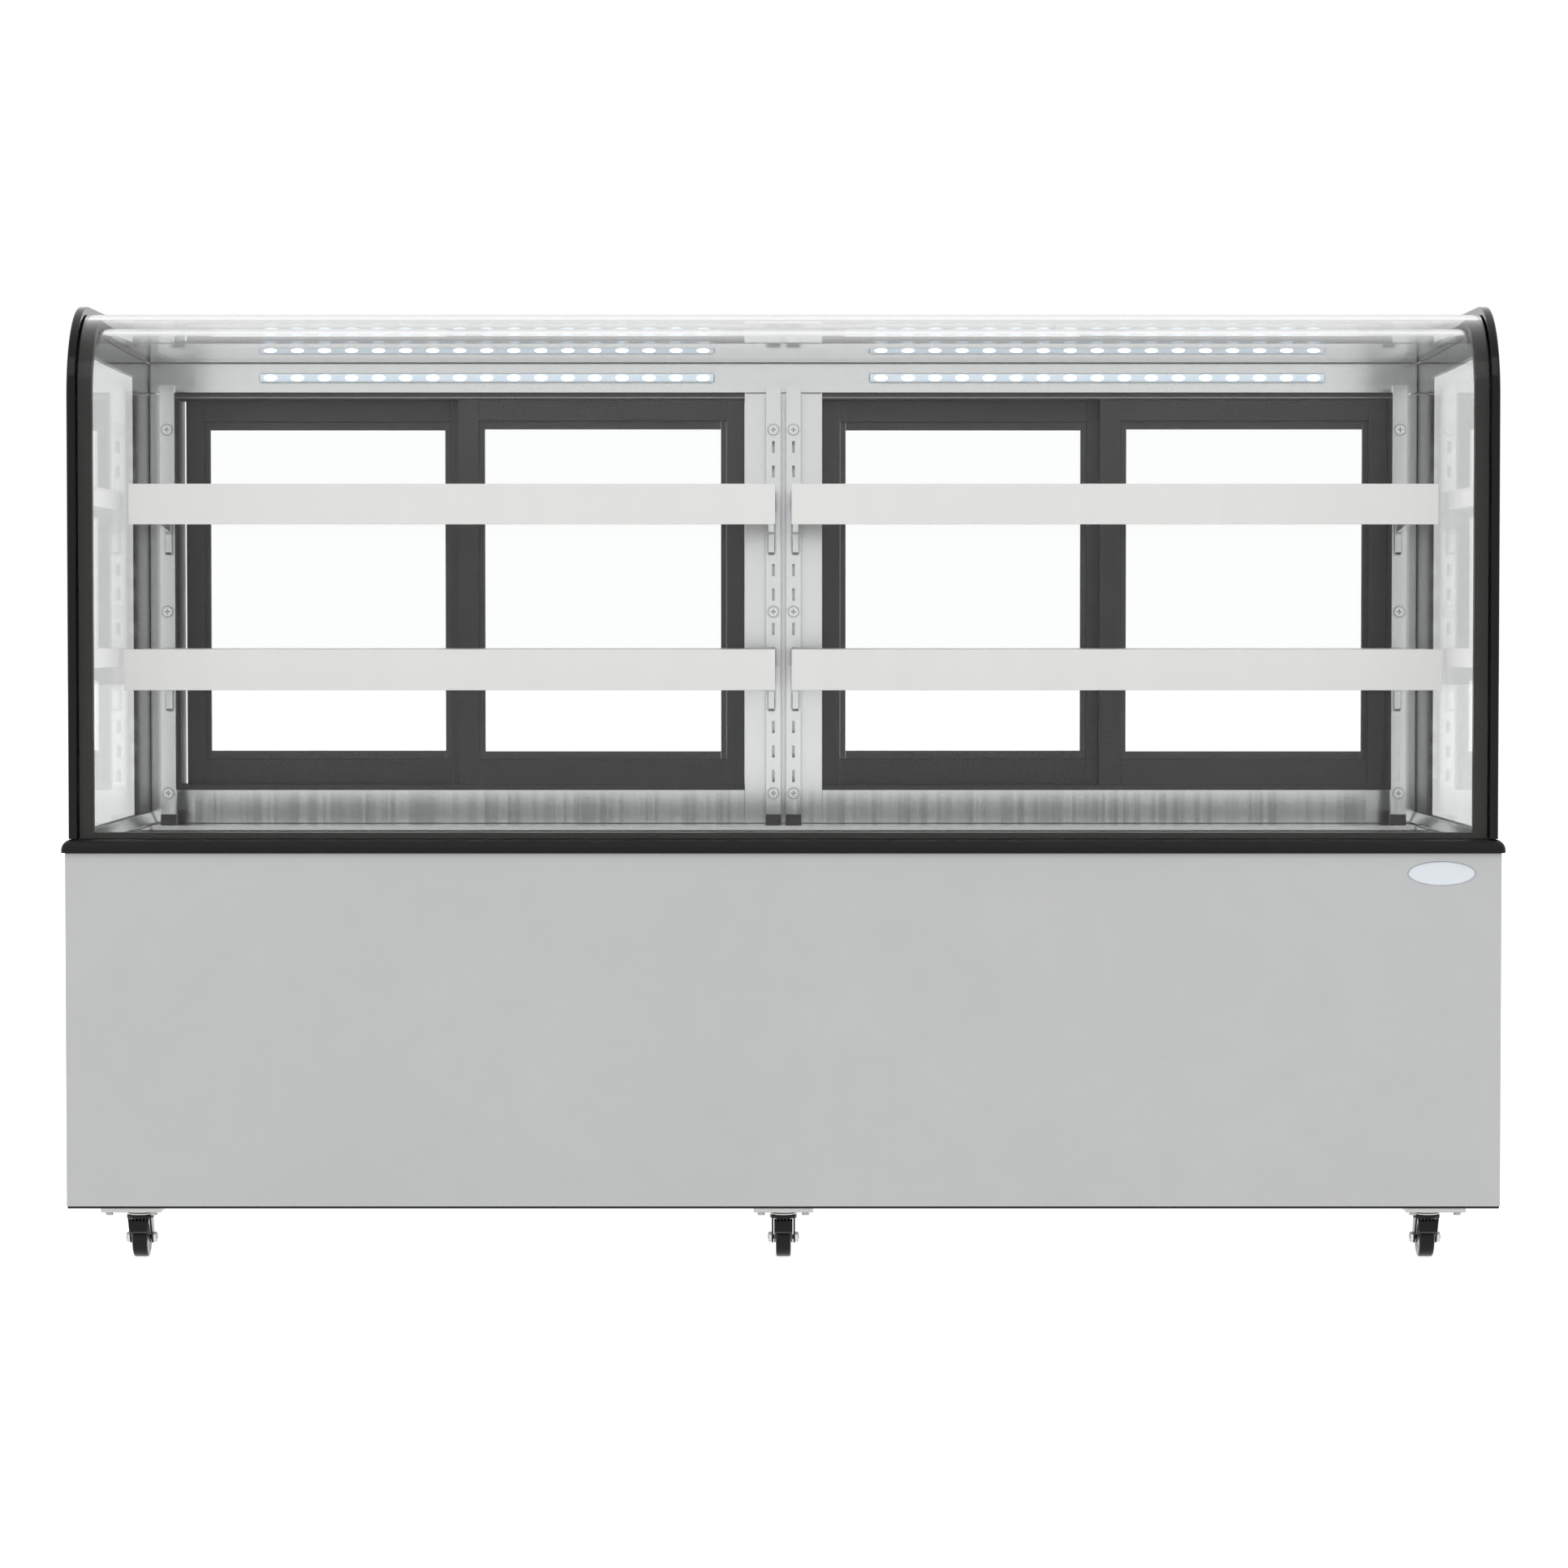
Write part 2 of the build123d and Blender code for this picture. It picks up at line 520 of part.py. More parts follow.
# ---------------------------------------------------------------- shelf standards
STANDARDS = [side * x for x in STANDARD_X for side in (-1, 1)]
SLOT_FEET = []
for low_screw, high_screw in zip(SCREW_HEIGHTS, SCREW_HEIGHTS[1:]):
    first = (low_screw + high_screw - (SLOT_GROUP - 1) * SLOT_PITCH - SLOT_TALL) / 2
    for row in range(SLOT_GROUP):
        SLOT_FEET.append(first + row * SLOT_PITCH)
HEAD_RADIUS = 6.5
HEAD_THICK = 2.4
HEAD_FACE = 1.3           # middle of the head in front of the standard's face
SHANK_RADIUS = 2.5
SLEEVE_RADIUS = 4.0       # spacer tube between the standard and the wall
RECESS = (7.0, 1.3)       # arms of the cross recess

with BuildPart() as shelf_standards:
    for x in STANDARDS:
        face_x = (x - STANDARD_WIDE / 2, x + STANDARD_WIDE / 2)
        y = (at(STANDARD_DEPTH), at(STANDARD_DEPTH + STANDARD_DEEP))
        z = (STANDARD_FOOT, STANDARD_TOP)
        block(face_x, y, z)
        block((face_x[0] + SHEET, face_x[1] - SHEET), (y[0] + SHEET, y[1]), z, Mode.SUBTRACT)
        for foot in SLOT_FEET:
            block((x - SLOT_WIDE / 2, x + SLOT_WIDE / 2), (y[0], y[0] + SHEET),
                  (foot, foot + SLOT_TALL), Mode.SUBTRACT)
        for height in SCREW_HEIGHTS:
            rod(SHANK_RADIUS + 0.1, (x, y[0] + SHEET / 2, height), SHEET, "Y", Mode.SUBTRACT)
keep(shelf_standards, "shelf_standards")

with BuildPart() as standard_feet:
    for x in STANDARDS:
        block((x - STANDARD_WIDE / 2 - 0.5, x + STANDARD_WIDE / 2 + 0.5),
              (at(STANDARD_DEPTH - 0.5), at(STANDARD_DEPTH + STANDARD_DEEP + 0.5)),
              (LEDGE_TOP + 0.1, STANDARD_FOOT - 0.1))
keep(standard_feet, "standard_feet")

with BuildPart() as standard_screws:
    for x in STANDARDS:
        for height in SCREW_HEIGHTS:
            face = at(STANDARD_DEPTH)
            run = WALL - STANDARD_DEPTH
            rod(HEAD_RADIUS, (x, face - HEAD_FACE, height), HEAD_THICK, "Y")
            rod(SHANK_RADIUS, (x, face + run / 2, height), run - 0.4, "Y")
            rod(SLEEVE_RADIUS, (x, face + (run + 2 * SHEET) / 2, height), run - 2 * SHEET - 0.8, "Y")
            for wide, tall in (RECESS, RECESS[::-1]):
                block((x - wide / 2, x + wide / 2), (face - HEAD_FACE - HEAD_THICK, face - HEAD_FACE),
                      (height - tall / 2, height + tall / 2), Mode.SUBTRACT)
keep(standard_screws, "standard_screws")

# ---------------------------------------------------------------- shelves and their arms


def shelf(side, top, front):
    """Folded tray with a deep front lip, turned upside down so that its face is flat."""
    x = sorted((side * SHELF_ENDS[0], side * SHELF_ENDS[1]))
    with BuildPart() as tray:
        block(x, (at(front), at(SHELF_BACK)), (top - SHELF_RIM, top))
        block(x, (at(front), at(front + SHEET)), (top - SHELF_LIP, top - SHELF_RIM))
        block((x[0] + SHEET, x[1] - SHEET), (at(front + SHEET), at(SHELF_BACK - SHEET)),
              (top - SHELF_RIM, top - SHEET), Mode.SUBTRACT)
        nose = tray.edges().filter_by(Axis.X).group_by(Axis.Y)[0]
        fillet(nose, 0.7)
    return tray


for level, (top, front) in (("upper", UPPER_SHELF), ("lower", LOWER_SHELF)):
    for name, side in (("left", -1), ("right", 1)):
        keep(shelf(side, top, front), f"{level}_{name}_shelf")

ARM_TAIL = 85.0           # how far the tail hangs below the shelf's top
ARM_ROOT = 56.0           # underside of the arm at the standard
ARM_NOSE = 30.0           # underside of the arm at its front end
ARM_SET_BACK = 8.0
TAIL_DEEP = 8.5
TAIL_ROUND = 3.0
HOOK_FOOT = 2.0           # the hook's neck starts this far above the foot of its slot
HOOK_TALL = 10.0
HOOK_DEEP = 6.0
HOOK_DROP = 5.0

with BuildPart() as shelf_brackets:
    for top, front in (UPPER_SHELF, LOWER_SHELF):
        under = top - SHEET - 0.2
        root = at(SHELF_BACK - SHEET - 0.5)
        rear = at(STANDARD_DEPTH - 0.5)
        nose = at(front + ARM_SET_BACK)
        with BuildSketch(Plane.YZ) as arm:
            with BuildLine():
                Polyline(
                    (nose, under),
                    (root, under),
                    (root, top - SHELF_RIM - 1),
                    (rear, top - SHELF_RIM - 1),
                    (rear, top - ARM_TAIL + TAIL_ROUND),
                    (rear - TAIL_ROUND, top - ARM_TAIL),
                    (rear - TAIL_DEEP + TAIL_ROUND, top - ARM_TAIL),
                    (rear - TAIL_DEEP, top - ARM_TAIL + TAIL_ROUND),
                    (rear - TAIL_DEEP, top - ARM_ROOT),
                    (nose, top - ARM_NOSE),
                    close=True,
                )
            make_face()
        pocket = Pos(0, ARM_SHEET, ARM_SHEET) * arm.sketch
        hook_feet = [
            foot for foot in SLOT_FEET
            if top - ARM_TAIL + TAIL_ROUND < foot + HOOK_FOOT < top - SHELF_RIM - SLOT_TALL
        ]
        for x in STANDARDS:
            inward = math.copysign(1.0, math.copysign(sum(SHELF_ENDS) / 2, x) - x)
            outer_cheek = x - inward * HOOK_THICK / 2
            inner_cheek = outer_cheek + inward * ARM_WIDE
            along_x(arm.sketch, sorted((outer_cheek, inner_cheek)))
            hollow = sorted((outer_cheek + inward * ARM_SHEET, inner_cheek - inward * ARM_SHEET))
            along_x(pocket, hollow, Mode.SUBTRACT)
            hook_x = (x - HOOK_THICK / 2, x + HOOK_THICK / 2)
            for foot in hook_feet:
                neck = (foot + HOOK_FOOT, foot + HOOK_FOOT + HOOK_TALL)
                block(hook_x, (rear, rear + HOOK_DEEP), neck)
                block(hook_x, (rear + HOOK_DEEP / 2, rear + HOOK_DEEP), (neck[0] - HOOK_DROP, neck[0]))
keep(shelf_brackets, "shelf_brackets")

# ---------------------------------------------------------------- refrigeration
FLOOR = FRAME_FOOT + TUBE + 1.0       # machines stand on the lower cross tubes
COMPRESSOR_X = 480.0
COMPRESSOR_DEPTH = 300.0
CAN_RADIUS = 78.0
CAN_TALL = 170.0
CAN_ROUND = 34.0
CAN_FOOT = 33.0
BASEPLATE = (110.0, 70.0, 16.0)       # half width, half depth, thickness
MOUNT_RADIUS = 12.0                   # rubber feet
MOUNT_TALL = 21.0
MOUNT_AT = (92.0, 54.0)
TERMINAL_BOX = (40.0, 64.0, 70.0)

with BuildPart() as compressor:
    can_y = at(COMPRESSOR_DEPTH)
    rod(CAN_RADIUS, (COMPRESSOR_X, can_y, FLOOR + CAN_FOOT + CAN_TALL / 2), CAN_TALL, "Z")
    fillet(compressor.edges().filter_by(GeomType.CIRCLE), CAN_ROUND)
    plate_foot = FLOOR + MOUNT_TALL - 1
    block((COMPRESSOR_X - BASEPLATE[0], COMPRESSOR_X + BASEPLATE[0]),
          (can_y - BASEPLATE[1], can_y + BASEPLATE[1]), (plate_foot, plate_foot + BASEPLATE[2]))
    for dx in (-MOUNT_AT[0], MOUNT_AT[0]):
        for dy in (-MOUNT_AT[1], MOUNT_AT[1]):
            middle = (COMPRESSOR_X + dx, can_y + dy, FLOOR + (MOUNT_TALL - 1) / 2)
            rod(MOUNT_RADIUS, middle, MOUNT_TALL, "Z")
    box_foot = FLOOR + CAN_FOOT + 62
    box_x = COMPRESSOR_X + CAN_RADIUS - 6
    block((box_x, box_x + TERMINAL_BOX[0]), (can_y - TERMINAL_BOX[1] / 2, can_y + TERMINAL_BOX[1] / 2),
          (box_foot, box_foot + TERMINAL_BOX[2]))
keep(compressor, "compressor")

FAN_X = 130.0
FAN_Z = FLOOR + 128.0
FAN_RADIUS = 100.0
FAN_DEPTH = 506.0
COIL_HALF = 150.0
COIL_FOOT = FLOOR + 4.0
COIL_TOP = FLOOR + 252.0
COIL_DEPTH = (560.0, 610.0)
SHROUD_DEPTH = (520.0, 559.0)
FIN_COUNT = 24
FIN_HALF = 0.6
FIN_INSET = 4.0
COIL_ROWS = 8
COIL_ROW_PITCH = 30.0
COIL_FIRST_ROW = 22.0
COIL_TUBE = 5.0
COIL_TUBE_DEPTHS = (573.0, 597.0)
MOTOR_RADIUS = 30.0
MOTOR_LONG = 34.0
MOTOR_DEPTH = 466.0
SHAFT_RADIUS = 4.0
BRACKET_DEPTH = (470.0, 473.0)
BRACKET_HALF = (140.0, 12.0)

with BuildPart() as condenser_unit:
    coil_x = (FAN_X - COIL_HALF, FAN_X + COIL_HALF)
    coil_z = (COIL_FOOT, COIL_TOP)
    coil_y = (at(COIL_DEPTH[0]), at(COIL_DEPTH[1]))
    fin_pitch = (coil_x[1] - coil_x[0] - 2 * FIN_INSET) / FIN_COUNT
    for plate in ((coil_x[0], coil_x[0] + 2), (coil_x[1] - 2, coil_x[1])):
        block(plate, coil_y, coil_z)
    for index in range(FIN_COUNT + 1):
        x = coil_x[0] + FIN_INSET + index * fin_pitch
        block((x - FIN_HALF, x + FIN_HALF), (coil_y[0] + 3, coil_y[1] - 3),
              (coil_z[0] + FIN_INSET, coil_z[1] - FIN_INSET))
    for row in range(COIL_ROWS):
        for depth in COIL_TUBE_DEPTHS:
            height = COIL_FOOT + COIL_FIRST_ROW + row * COIL_ROW_PITCH
            rod(COIL_TUBE, (FAN_X, at(depth), height), 2 * COIL_HALF, "X")
    shroud_y = (at(SHROUD_DEPTH[0]), at(SHROUD_DEPTH[1]))
    block(coil_x, shroud_y, coil_z)
    block((coil_x[0] + TUBE_WALL, coil_x[1] - TUBE_WALL), (shroud_y[0] + 3, shroud_y[1]),
          (coil_z[0] + TUBE_WALL, coil_z[1] - TUBE_WALL), Mode.SUBTRACT)
    rod(FAN_RADIUS + 6, (FAN_X, shroud_y[0], FAN_Z), 8.0, "Y", Mode.SUBTRACT)
    # motor on a bracket that stands out from the shroud, and its shaft
    bracket_y = (at(BRACKET_DEPTH[0]), at(BRACKET_DEPTH[1]))
    bracket_z = (FAN_Z - BRACKET_HALF[1], FAN_Z + BRACKET_HALF[1])
    block((FAN_X - BRACKET_HALF[0], FAN_X + BRACKET_HALF[0]), bracket_y, bracket_z)
    for side in (-1, 1):
        leg = sorted((FAN_X + side * BRACKET_HALF[0], FAN_X + side * (BRACKET_HALF[0] - 3)))
        block(leg, (bracket_y[0], shroud_y[0]), bracket_z)
    rod(MOTOR_RADIUS, (FAN_X, at(MOTOR_DEPTH), FAN_Z), MOTOR_LONG, "Y")
    rod(SHAFT_RADIUS, (FAN_X, at(FAN_DEPTH - 11), FAN_Z), 36.0, "Y")
keep(condenser_unit, "condenser_unit")


BLADES = 5
BLADE_PITCH = 32.0        # twist of a blade, in degrees
BLADE_THICK = 2.0


def fan_rotor(middle, radius, hub, thick):
    """Axial fan wheel on a Y axis: a hub with pitched blades and a shaft bore."""
    with BuildPart() as rotor:
        rod(hub, middle, thick, "Y")
        for index in range(BLADES):
            turn = index * 360.0 / BLADES
            reach = (radius + hub * 0.7) / 2
            angle = math.radians(turn)
            x = middle[0] + reach * math.sin(angle)
            z = middle[2] + reach * math.cos(angle)
            with Locations(Location((x, middle[1], z), (0, turn, 0))):
                with Locations(Location((0, 0, 0), (0, 0, BLADE_PITCH))):
                    Box(radius * 0.62, BLADE_THICK, radius - hub * 0.7)
        rod(SHAFT_RADIUS + RUNNING, middle, thick * 2, "Y", Mode.SUBTRACT)
    return rotor


keep(fan_rotor((FAN_X, at(FAN_DEPTH), FAN_Z), FAN_RADIUS, 26.0, 22.0), "condenser_fan")

EVAPORATOR_HALF = 420.0
EVAPORATOR_DEPTH = (330.0, 430.0)
EVAPORATOR_FINS = 40
EVAPORATOR_TUBE_DEPTHS = (352.0, 380.0, 408.0)
EVAPORATOR_ROW_PITCH = 22.0
WELL_FLOOR = TUB_FOOT + TUB_WALL
END_PLATE_Z = (WELL_FLOOR + 4.0, WELL_FLOOR + 78.0)
SMALL_FAN_Z = WELL_FLOOR + 43.0
SMALL_FAN_RADIUS = 33.0
SMALL_FAN_DEPTH = 290.0
FAN_PLATE_DEPTH = (300.0, 303.0)
FAN_PLATE_HALF = 60.0
SMALL_MOTOR = (14.0, 20.0)            # radius, length

with BuildPart() as evaporator_coil:
    end_y = (at(EVAPORATOR_DEPTH[0]), at(EVAPORATOR_DEPTH[1]))
    for edge in (-EVAPORATOR_HALF, EVAPORATOR_HALF):
        block((edge - 1, edge + 1), end_y, END_PLATE_Z)
    for index in range(1, EVAPORATOR_FINS):
        x = EVAPORATOR_HALF * (2 * index / EVAPORATOR_FINS - 1)
        block((x - FIN_HALF, x + FIN_HALF), (end_y[0] + 3, end_y[1] - 3),
              (END_PLATE_Z[0] + FIN_INSET, END_PLATE_Z[1] - FIN_INSET))
    for row in range(3):
        for depth in EVAPORATOR_TUBE_DEPTHS:
            height = END_PLATE_Z[0] + 15 + row * EVAPORATOR_ROW_PITCH
            rod(COIL_TUBE, (0.0, at(depth), height), 2 * EVAPORATOR_HALF, "X")
    # fan plate, with the small motor and its shaft held on a cross bar
    plate_y = (at(FAN_PLATE_DEPTH[0]), at(FAN_PLATE_DEPTH[1]))
    block((-FAN_PLATE_HALF, FAN_PLATE_HALF), plate_y, (WELL_FLOOR + 2, WELL_FLOOR + 84))
    rod(SMALL_FAN_RADIUS + 4, (0, sum(plate_y) / 2, SMALL_FAN_Z), 6.0, "Y", Mode.SUBTRACT)
    block((-FAN_PLATE_HALF + 2, FAN_PLATE_HALF - 2), (plate_y[0] + 0.2, plate_y[1] - 0.2),
          (SMALL_FAN_Z - 4, SMALL_FAN_Z + 4))
    motor_y = plate_y[0] + 2 + SMALL_MOTOR[1] / 2
    rod(SMALL_MOTOR[0], (0, motor_y, SMALL_FAN_Z), SMALL_MOTOR[1], "Y")
    rod(SHAFT_RADIUS, (0, at(SMALL_FAN_DEPTH + 3), SMALL_FAN_Z), 20.0, "Y")
keep(evaporator_coil, "evaporator_coil")

keep(fan_rotor((0.0, at(SMALL_FAN_DEPTH), SMALL_FAN_Z), SMALL_FAN_RADIUS, 11.0, 12.0), "evaporator_fan")

LINE_RADIUS = 4.0
LINE_BEND = 8.0
DISCHARGE_X = COMPRESSOR_X - 60.0
SUCTION_X = COMPRESSOR_X + 40.0
DROP_X = FAN_X + COIL_HALF + 20.0     # where the discharge line turns down beside the coil
HIGH_RUN = FLOOR + 240.0
SUCTION_RUN = FLOOR + 262.0
COIL_ENTRY = FLOOR + 200.0
SUCTION_DEPTH = 380.0

with BuildPart() as refrigerant_lines:
    runs = (
        # discharge line, compressor to condenser
        ((DISCHARGE_X, at(COMPRESSOR_DEPTH), FLOOR + 201.5),
         (DISCHARGE_X, at(COMPRESSOR_DEPTH), HIGH_RUN),
         (DROP_X, at(COMPRESSOR_DEPTH), HIGH_RUN),
         (DROP_X, at(COIL_TUBE_DEPTHS[0]), HIGH_RUN),
         (DROP_X, at(COIL_TUBE_DEPTHS[0]), COIL_ENTRY),
         (FAN_X + COIL_HALF + 2, at(COIL_TUBE_DEPTHS[0]), COIL_ENTRY)),
        # suction line, up through the floor of the cold well
        ((SUCTION_X, at(COMPRESSOR_DEPTH), FLOOR + 203.2),
         (SUCTION_X, at(COMPRESSOR_DEPTH), SUCTION_RUN),
         (SUCTION_X, at(SUCTION_DEPTH), SUCTION_RUN),
         (SUCTION_X, at(SUCTION_DEPTH), TUB_FOOT - 2)),
    )
    for run in runs:
        with BuildLine(mode=Mode.PRIVATE) as path:
            FilletPolyline(*run, radius=LINE_BEND)
        start = path.line @ 0
        with BuildSketch(Plane(origin=start, z_dir=path.line % 0), mode=Mode.PRIVATE) as section:
            Circle(LINE_RADIUS)
        sweep(sections=section.sketch, path=path.line)
keep(refrigerant_lines, "refrigerant_lines")

# ---------------------------------------------------------------- controls
BEZEL_DEPTH = 680.0
BEZEL_THICK = 12.0
SWITCH_X = {"power_switch": 520.0, "light_switch": 560.0}
SWITCH_Z = 430.0
SWITCH_WIDE = 18.0
SWITCH_TALL = 26.0
PIVOT_DEPTH = 673.0
PIVOT_RADIUS = 1.5
ROCKER_NECK = 7.0         # half height of the rocker behind its pivot
DISPLAY_X = (630.0, 710.0)
DISPLAY_Z = (412.0, 448.0)
DISPLAY_BORDER = 2.0
GLAND_FLANGE = 4.0
GLAND_LONG = 16.0

with BuildPart() as control_box:
    box_x = (CONTROL_X[0] + 0.5, CONTROL_X[1] - 0.5)
    box_y = (at(BEZEL_DEPTH - BEZEL_THICK), at(BEZEL_DEPTH))
    block(box_x, box_y, (CONTROL_Z[0] + 0.5, CONTROL_Z[1] - 0.5))
    for x in SWITCH_X.values():
        hole_x = (x - SWITCH_WIDE / 2 - 0.6, x + SWITCH_WIDE / 2 + 0.6)
        hole_z = (SWITCH_Z - SWITCH_TALL / 2 - 0.8, SWITCH_Z + SWITCH_TALL / 2 + 0.8)
        block(hole_x, box_y, hole_z, Mode.SUBTRACT)
        rod(PIVOT_RADIUS, (x, at(PIVOT_DEPTH), SWITCH_Z), SWITCH_WIDE + 1.2, "X")
    # display window of the thermostat, and its glass set one step back
    block(DISPLAY_X, (box_y[1] - DISPLAY_BORDER, box_y[1]), DISPLAY_Z, Mode.SUBTRACT)
    block((DISPLAY_X[0] + DISPLAY_BORDER, DISPLAY_X[1] - DISPLAY_BORDER), (box_y[1] - 3, box_y[1] - 1),
          (DISPLAY_Z[0] + DISPLAY_BORDER, DISPLAY_Z[1] - DISPLAY_BORDER))
    # gland where the supply lead enters
    gland_y = at(DEPTH - GLAND_LONG / 2)
    rod(GLAND_RADIUS + GLAND_FLANGE, (GLAND_X, at(DEPTH - 0.7), GLAND_Z), 1.4, "Y")
    rod(GLAND_RADIUS, (GLAND_X, gland_y, GLAND_Z), GLAND_LONG, "Y")
    rod(GLAND_RADIUS / 2, (GLAND_X, gland_y, GLAND_Z), GLAND_LONG + 2, "Y", Mode.SUBTRACT)
keep(control_box, "control_box")

for name, x in SWITCH_X.items():
    with BuildPart() as rocker:
        with BuildSketch(Plane.YZ) as cap:
            neck = at(PIVOT_DEPTH - 3)
            shoulder = at(BEZEL_DEPTH - 3)
            lip = at(BEZEL_DEPTH - 0.5)
            low, high = SWITCH_Z - SWITCH_TALL / 2, SWITCH_Z + SWITCH_TALL / 2
            with BuildLine():
                Polyline(
                    (neck, SWITCH_Z - ROCKER_NECK),
                    (shoulder, low),
                    (lip, low),
                    (at(BEZEL_DEPTH - 2), SWITCH_Z),
                    (lip, high),
                    (shoulder, high),
                    (neck, SWITCH_Z + ROCKER_NECK),
                    close=True,
                )
            make_face()
        along_x(cap.sketch, (x - SWITCH_WIDE / 2, x + SWITCH_WIDE / 2))
        bore = PIVOT_RADIUS + RUNNING
        rod(bore, (x, at(PIVOT_DEPTH), SWITCH_Z), SWITCH_WIDE * 2, "X", Mode.SUBTRACT)
    keep(rocker, name)

# ---------------------------------------------------------------- casters
PLATE_WIDE = 75.0
PLATE_DEEP = 58.0
PLATE_Z = (61.5, BASE_FOOT - GAP)
PLATE_SHIFT = 8.0         # the end plates sit a little outboard of their casters
KING_PIN = 4.0
CROWN = (52.0, 56.0)
RACE_Z = (56.0, 61.0)
RACE_RADIUS = 17.0
LEG_INNER = 12.6
LEG_THICK = 2.2
AXLE_Z = WHEEL_RADIUS
TREAD_HALF = 9.5
PEDAL_ARM = (9.9, 11.6)
PLATE_BOLT = (28.0, 21.0)
PLATE_BOLT_RADIUS = 4.5
PLATE_BOLT_TALL = 4.0
LEG_TOP = 12.0            # half width of a leg at the crown
LEG_EYE = 7.5             # radius of a leg's end round the axle
BOLT_HEAD = (5.5, 4.0)    # radius, thickness
SHOULDER = 2.0
TREAD_SEAT = 18.2
HUB_RIM = 18.0
HUB_DISH = 6.0

CASTERS = []
for row, sign in (("front", 1), ("rear", -1)):
    for column, x in (("left", -CASTER_X), ("middle", 0.0), ("right", CASTER_X)):
        pivot_y = at(CASTER_DEPTH) if row == "front" else at(DEPTH - CASTER_DEPTH)
        CASTERS.append((f"{row}_{column}", x, pivot_y, sign))

with BuildPart() as caster_plates:
    for name, x, pivot_y, sign in CASTERS:
        shift = 0.0 if x == 0 else math.copysign(PLATE_SHIFT, x)
        block((x + shift - PLATE_WIDE / 2, x + shift + PLATE_WIDE / 2),
              (pivot_y - PLATE_DEEP / 2, pivot_y + PLATE_DEEP / 2), PLATE_Z)
        rod(KING_PIN + RUNNING, (x, pivot_y, sum(PLATE_Z) / 2), 12.0, "Z", Mode.SUBTRACT)
        for dx in (-PLATE_BOLT[0], PLATE_BOLT[0]):
            for dy in (-PLATE_BOLT[1], PLATE_BOLT[1]):
                middle = (x + shift + dx, pivot_y + dy, PLATE_Z[0] - PLATE_BOLT_TALL / 2)
                rod(PLATE_BOLT_RADIUS, middle, PLATE_BOLT_TALL, "Z")
keep(caster_plates, "caster_plates")


def caster_fork(x, pivot_y, sign):
    """Swivel race, king pin, crown, two tapering legs, and the axle bolt with its nut."""
    axle_y = pivot_y + sign * TRAIL
    with BuildPart() as fork:
        rod(RACE_RADIUS, (x, pivot_y, sum(CROWN) / 2), CROWN[1] - CROWN[0], "Z")
        rod(RACE_RADIUS - 1.0, (x, pivot_y, sum(RACE_Z) / 2), RACE_Z[1] - RACE_Z[0], "Z")
        rod(KING_PIN, (x, pivot_y, 65.0), 10.0, "Z")
        with BuildSketch(Plane.YZ) as leg:
            with BuildLine():
                Polyline(
                    (pivot_y - sign * LEG_TOP, CROWN[1]),
                    (pivot_y + sign * LEG_TOP, CROWN[1]),
                    (axle_y + sign * LEG_EYE, AXLE_Z),
                    (axle_y - sign * LEG_EYE, AXLE_Z),
                    close=True,
                )
            make_face()
            with Locations((axle_y, AXLE_Z)):
                Circle(LEG_EYE)
                Circle(AXLE_RADIUS + RUNNING, mode=Mode.SUBTRACT)
        for side in (-1, 1):
            cheek = sorted((x + side * LEG_INNER, x + side * (LEG_INNER + LEG_THICK)))
            along_x(leg.sketch, cheek)
            web = sorted((x + side * (LEG_INNER - 2), x + side * (LEG_INNER + LEG_THICK)))
            block(web, (pivot_y - LEG_TOP * 0.75, pivot_y + LEG_TOP * 0.75), CROWN)
        reach = LEG_INNER + LEG_THICK
        rod(AXLE_RADIUS, (x, axle_y, AXLE_Z), 2 * reach + 10, "X")
        for side in (-1, 1):
            head_x = x + side * (reach + 0.2 + BOLT_HEAD[1] / 2)
            rod(BOLT_HEAD[0], (head_x, axle_y, AXLE_Z), BOLT_HEAD[1], "X")
    return fork


def caster_wheel(x, axle_y):
    """Tyre with rounded shoulders over a dished hub with a bore for the axle bolt."""
    with BuildPart() as wheel:
        with BuildSketch(Plane(origin=(x, axle_y, AXLE_Z), x_dir=(1, 0, 0), z_dir=(0, -1, 0))) as tyre:
            with BuildLine():
                Polyline(
                    (-TREAD_HALF, TREAD_SEAT),
                    (-TREAD_HALF, WHEEL_RADIUS - SHOULDER),
                    (-TREAD_HALF + SHOULDER, WHEEL_RADIUS),
                    (TREAD_HALF - SHOULDER, WHEEL_RADIUS),
                    (TREAD_HALF, WHEEL_RADIUS - SHOULDER),
                    (TREAD_HALF, TREAD_SEAT),
                    close=True,
                )
            make_face()
        axle = Axis((x, axle_y, AXLE_Z), (1, 0, 0))
        revolve(tyre.sketch, axis=axle)
        with BuildSketch(Plane(origin=(x, axle_y, AXLE_Z), x_dir=(1, 0, 0), z_dir=(0, -1, 0))) as hub:
            bore = AXLE_RADIUS + RUNNING
            with BuildLine():
                half = (
                    (TREAD_HALF, bore),
                    (TREAD_HALF, HUB_RIM - 10),
                    (HUB_DISH, HUB_RIM - 8),
                    (HUB_DISH, HUB_RIM - 3),
                    (TREAD_HALF - 0.3, HUB_RIM),
                )
                Polyline(*((-x_off, r) for x_off, r in half), *half[::-1], close=True)
            make_face()
        revolve(hub.sketch, axis=axle)
    return wheel


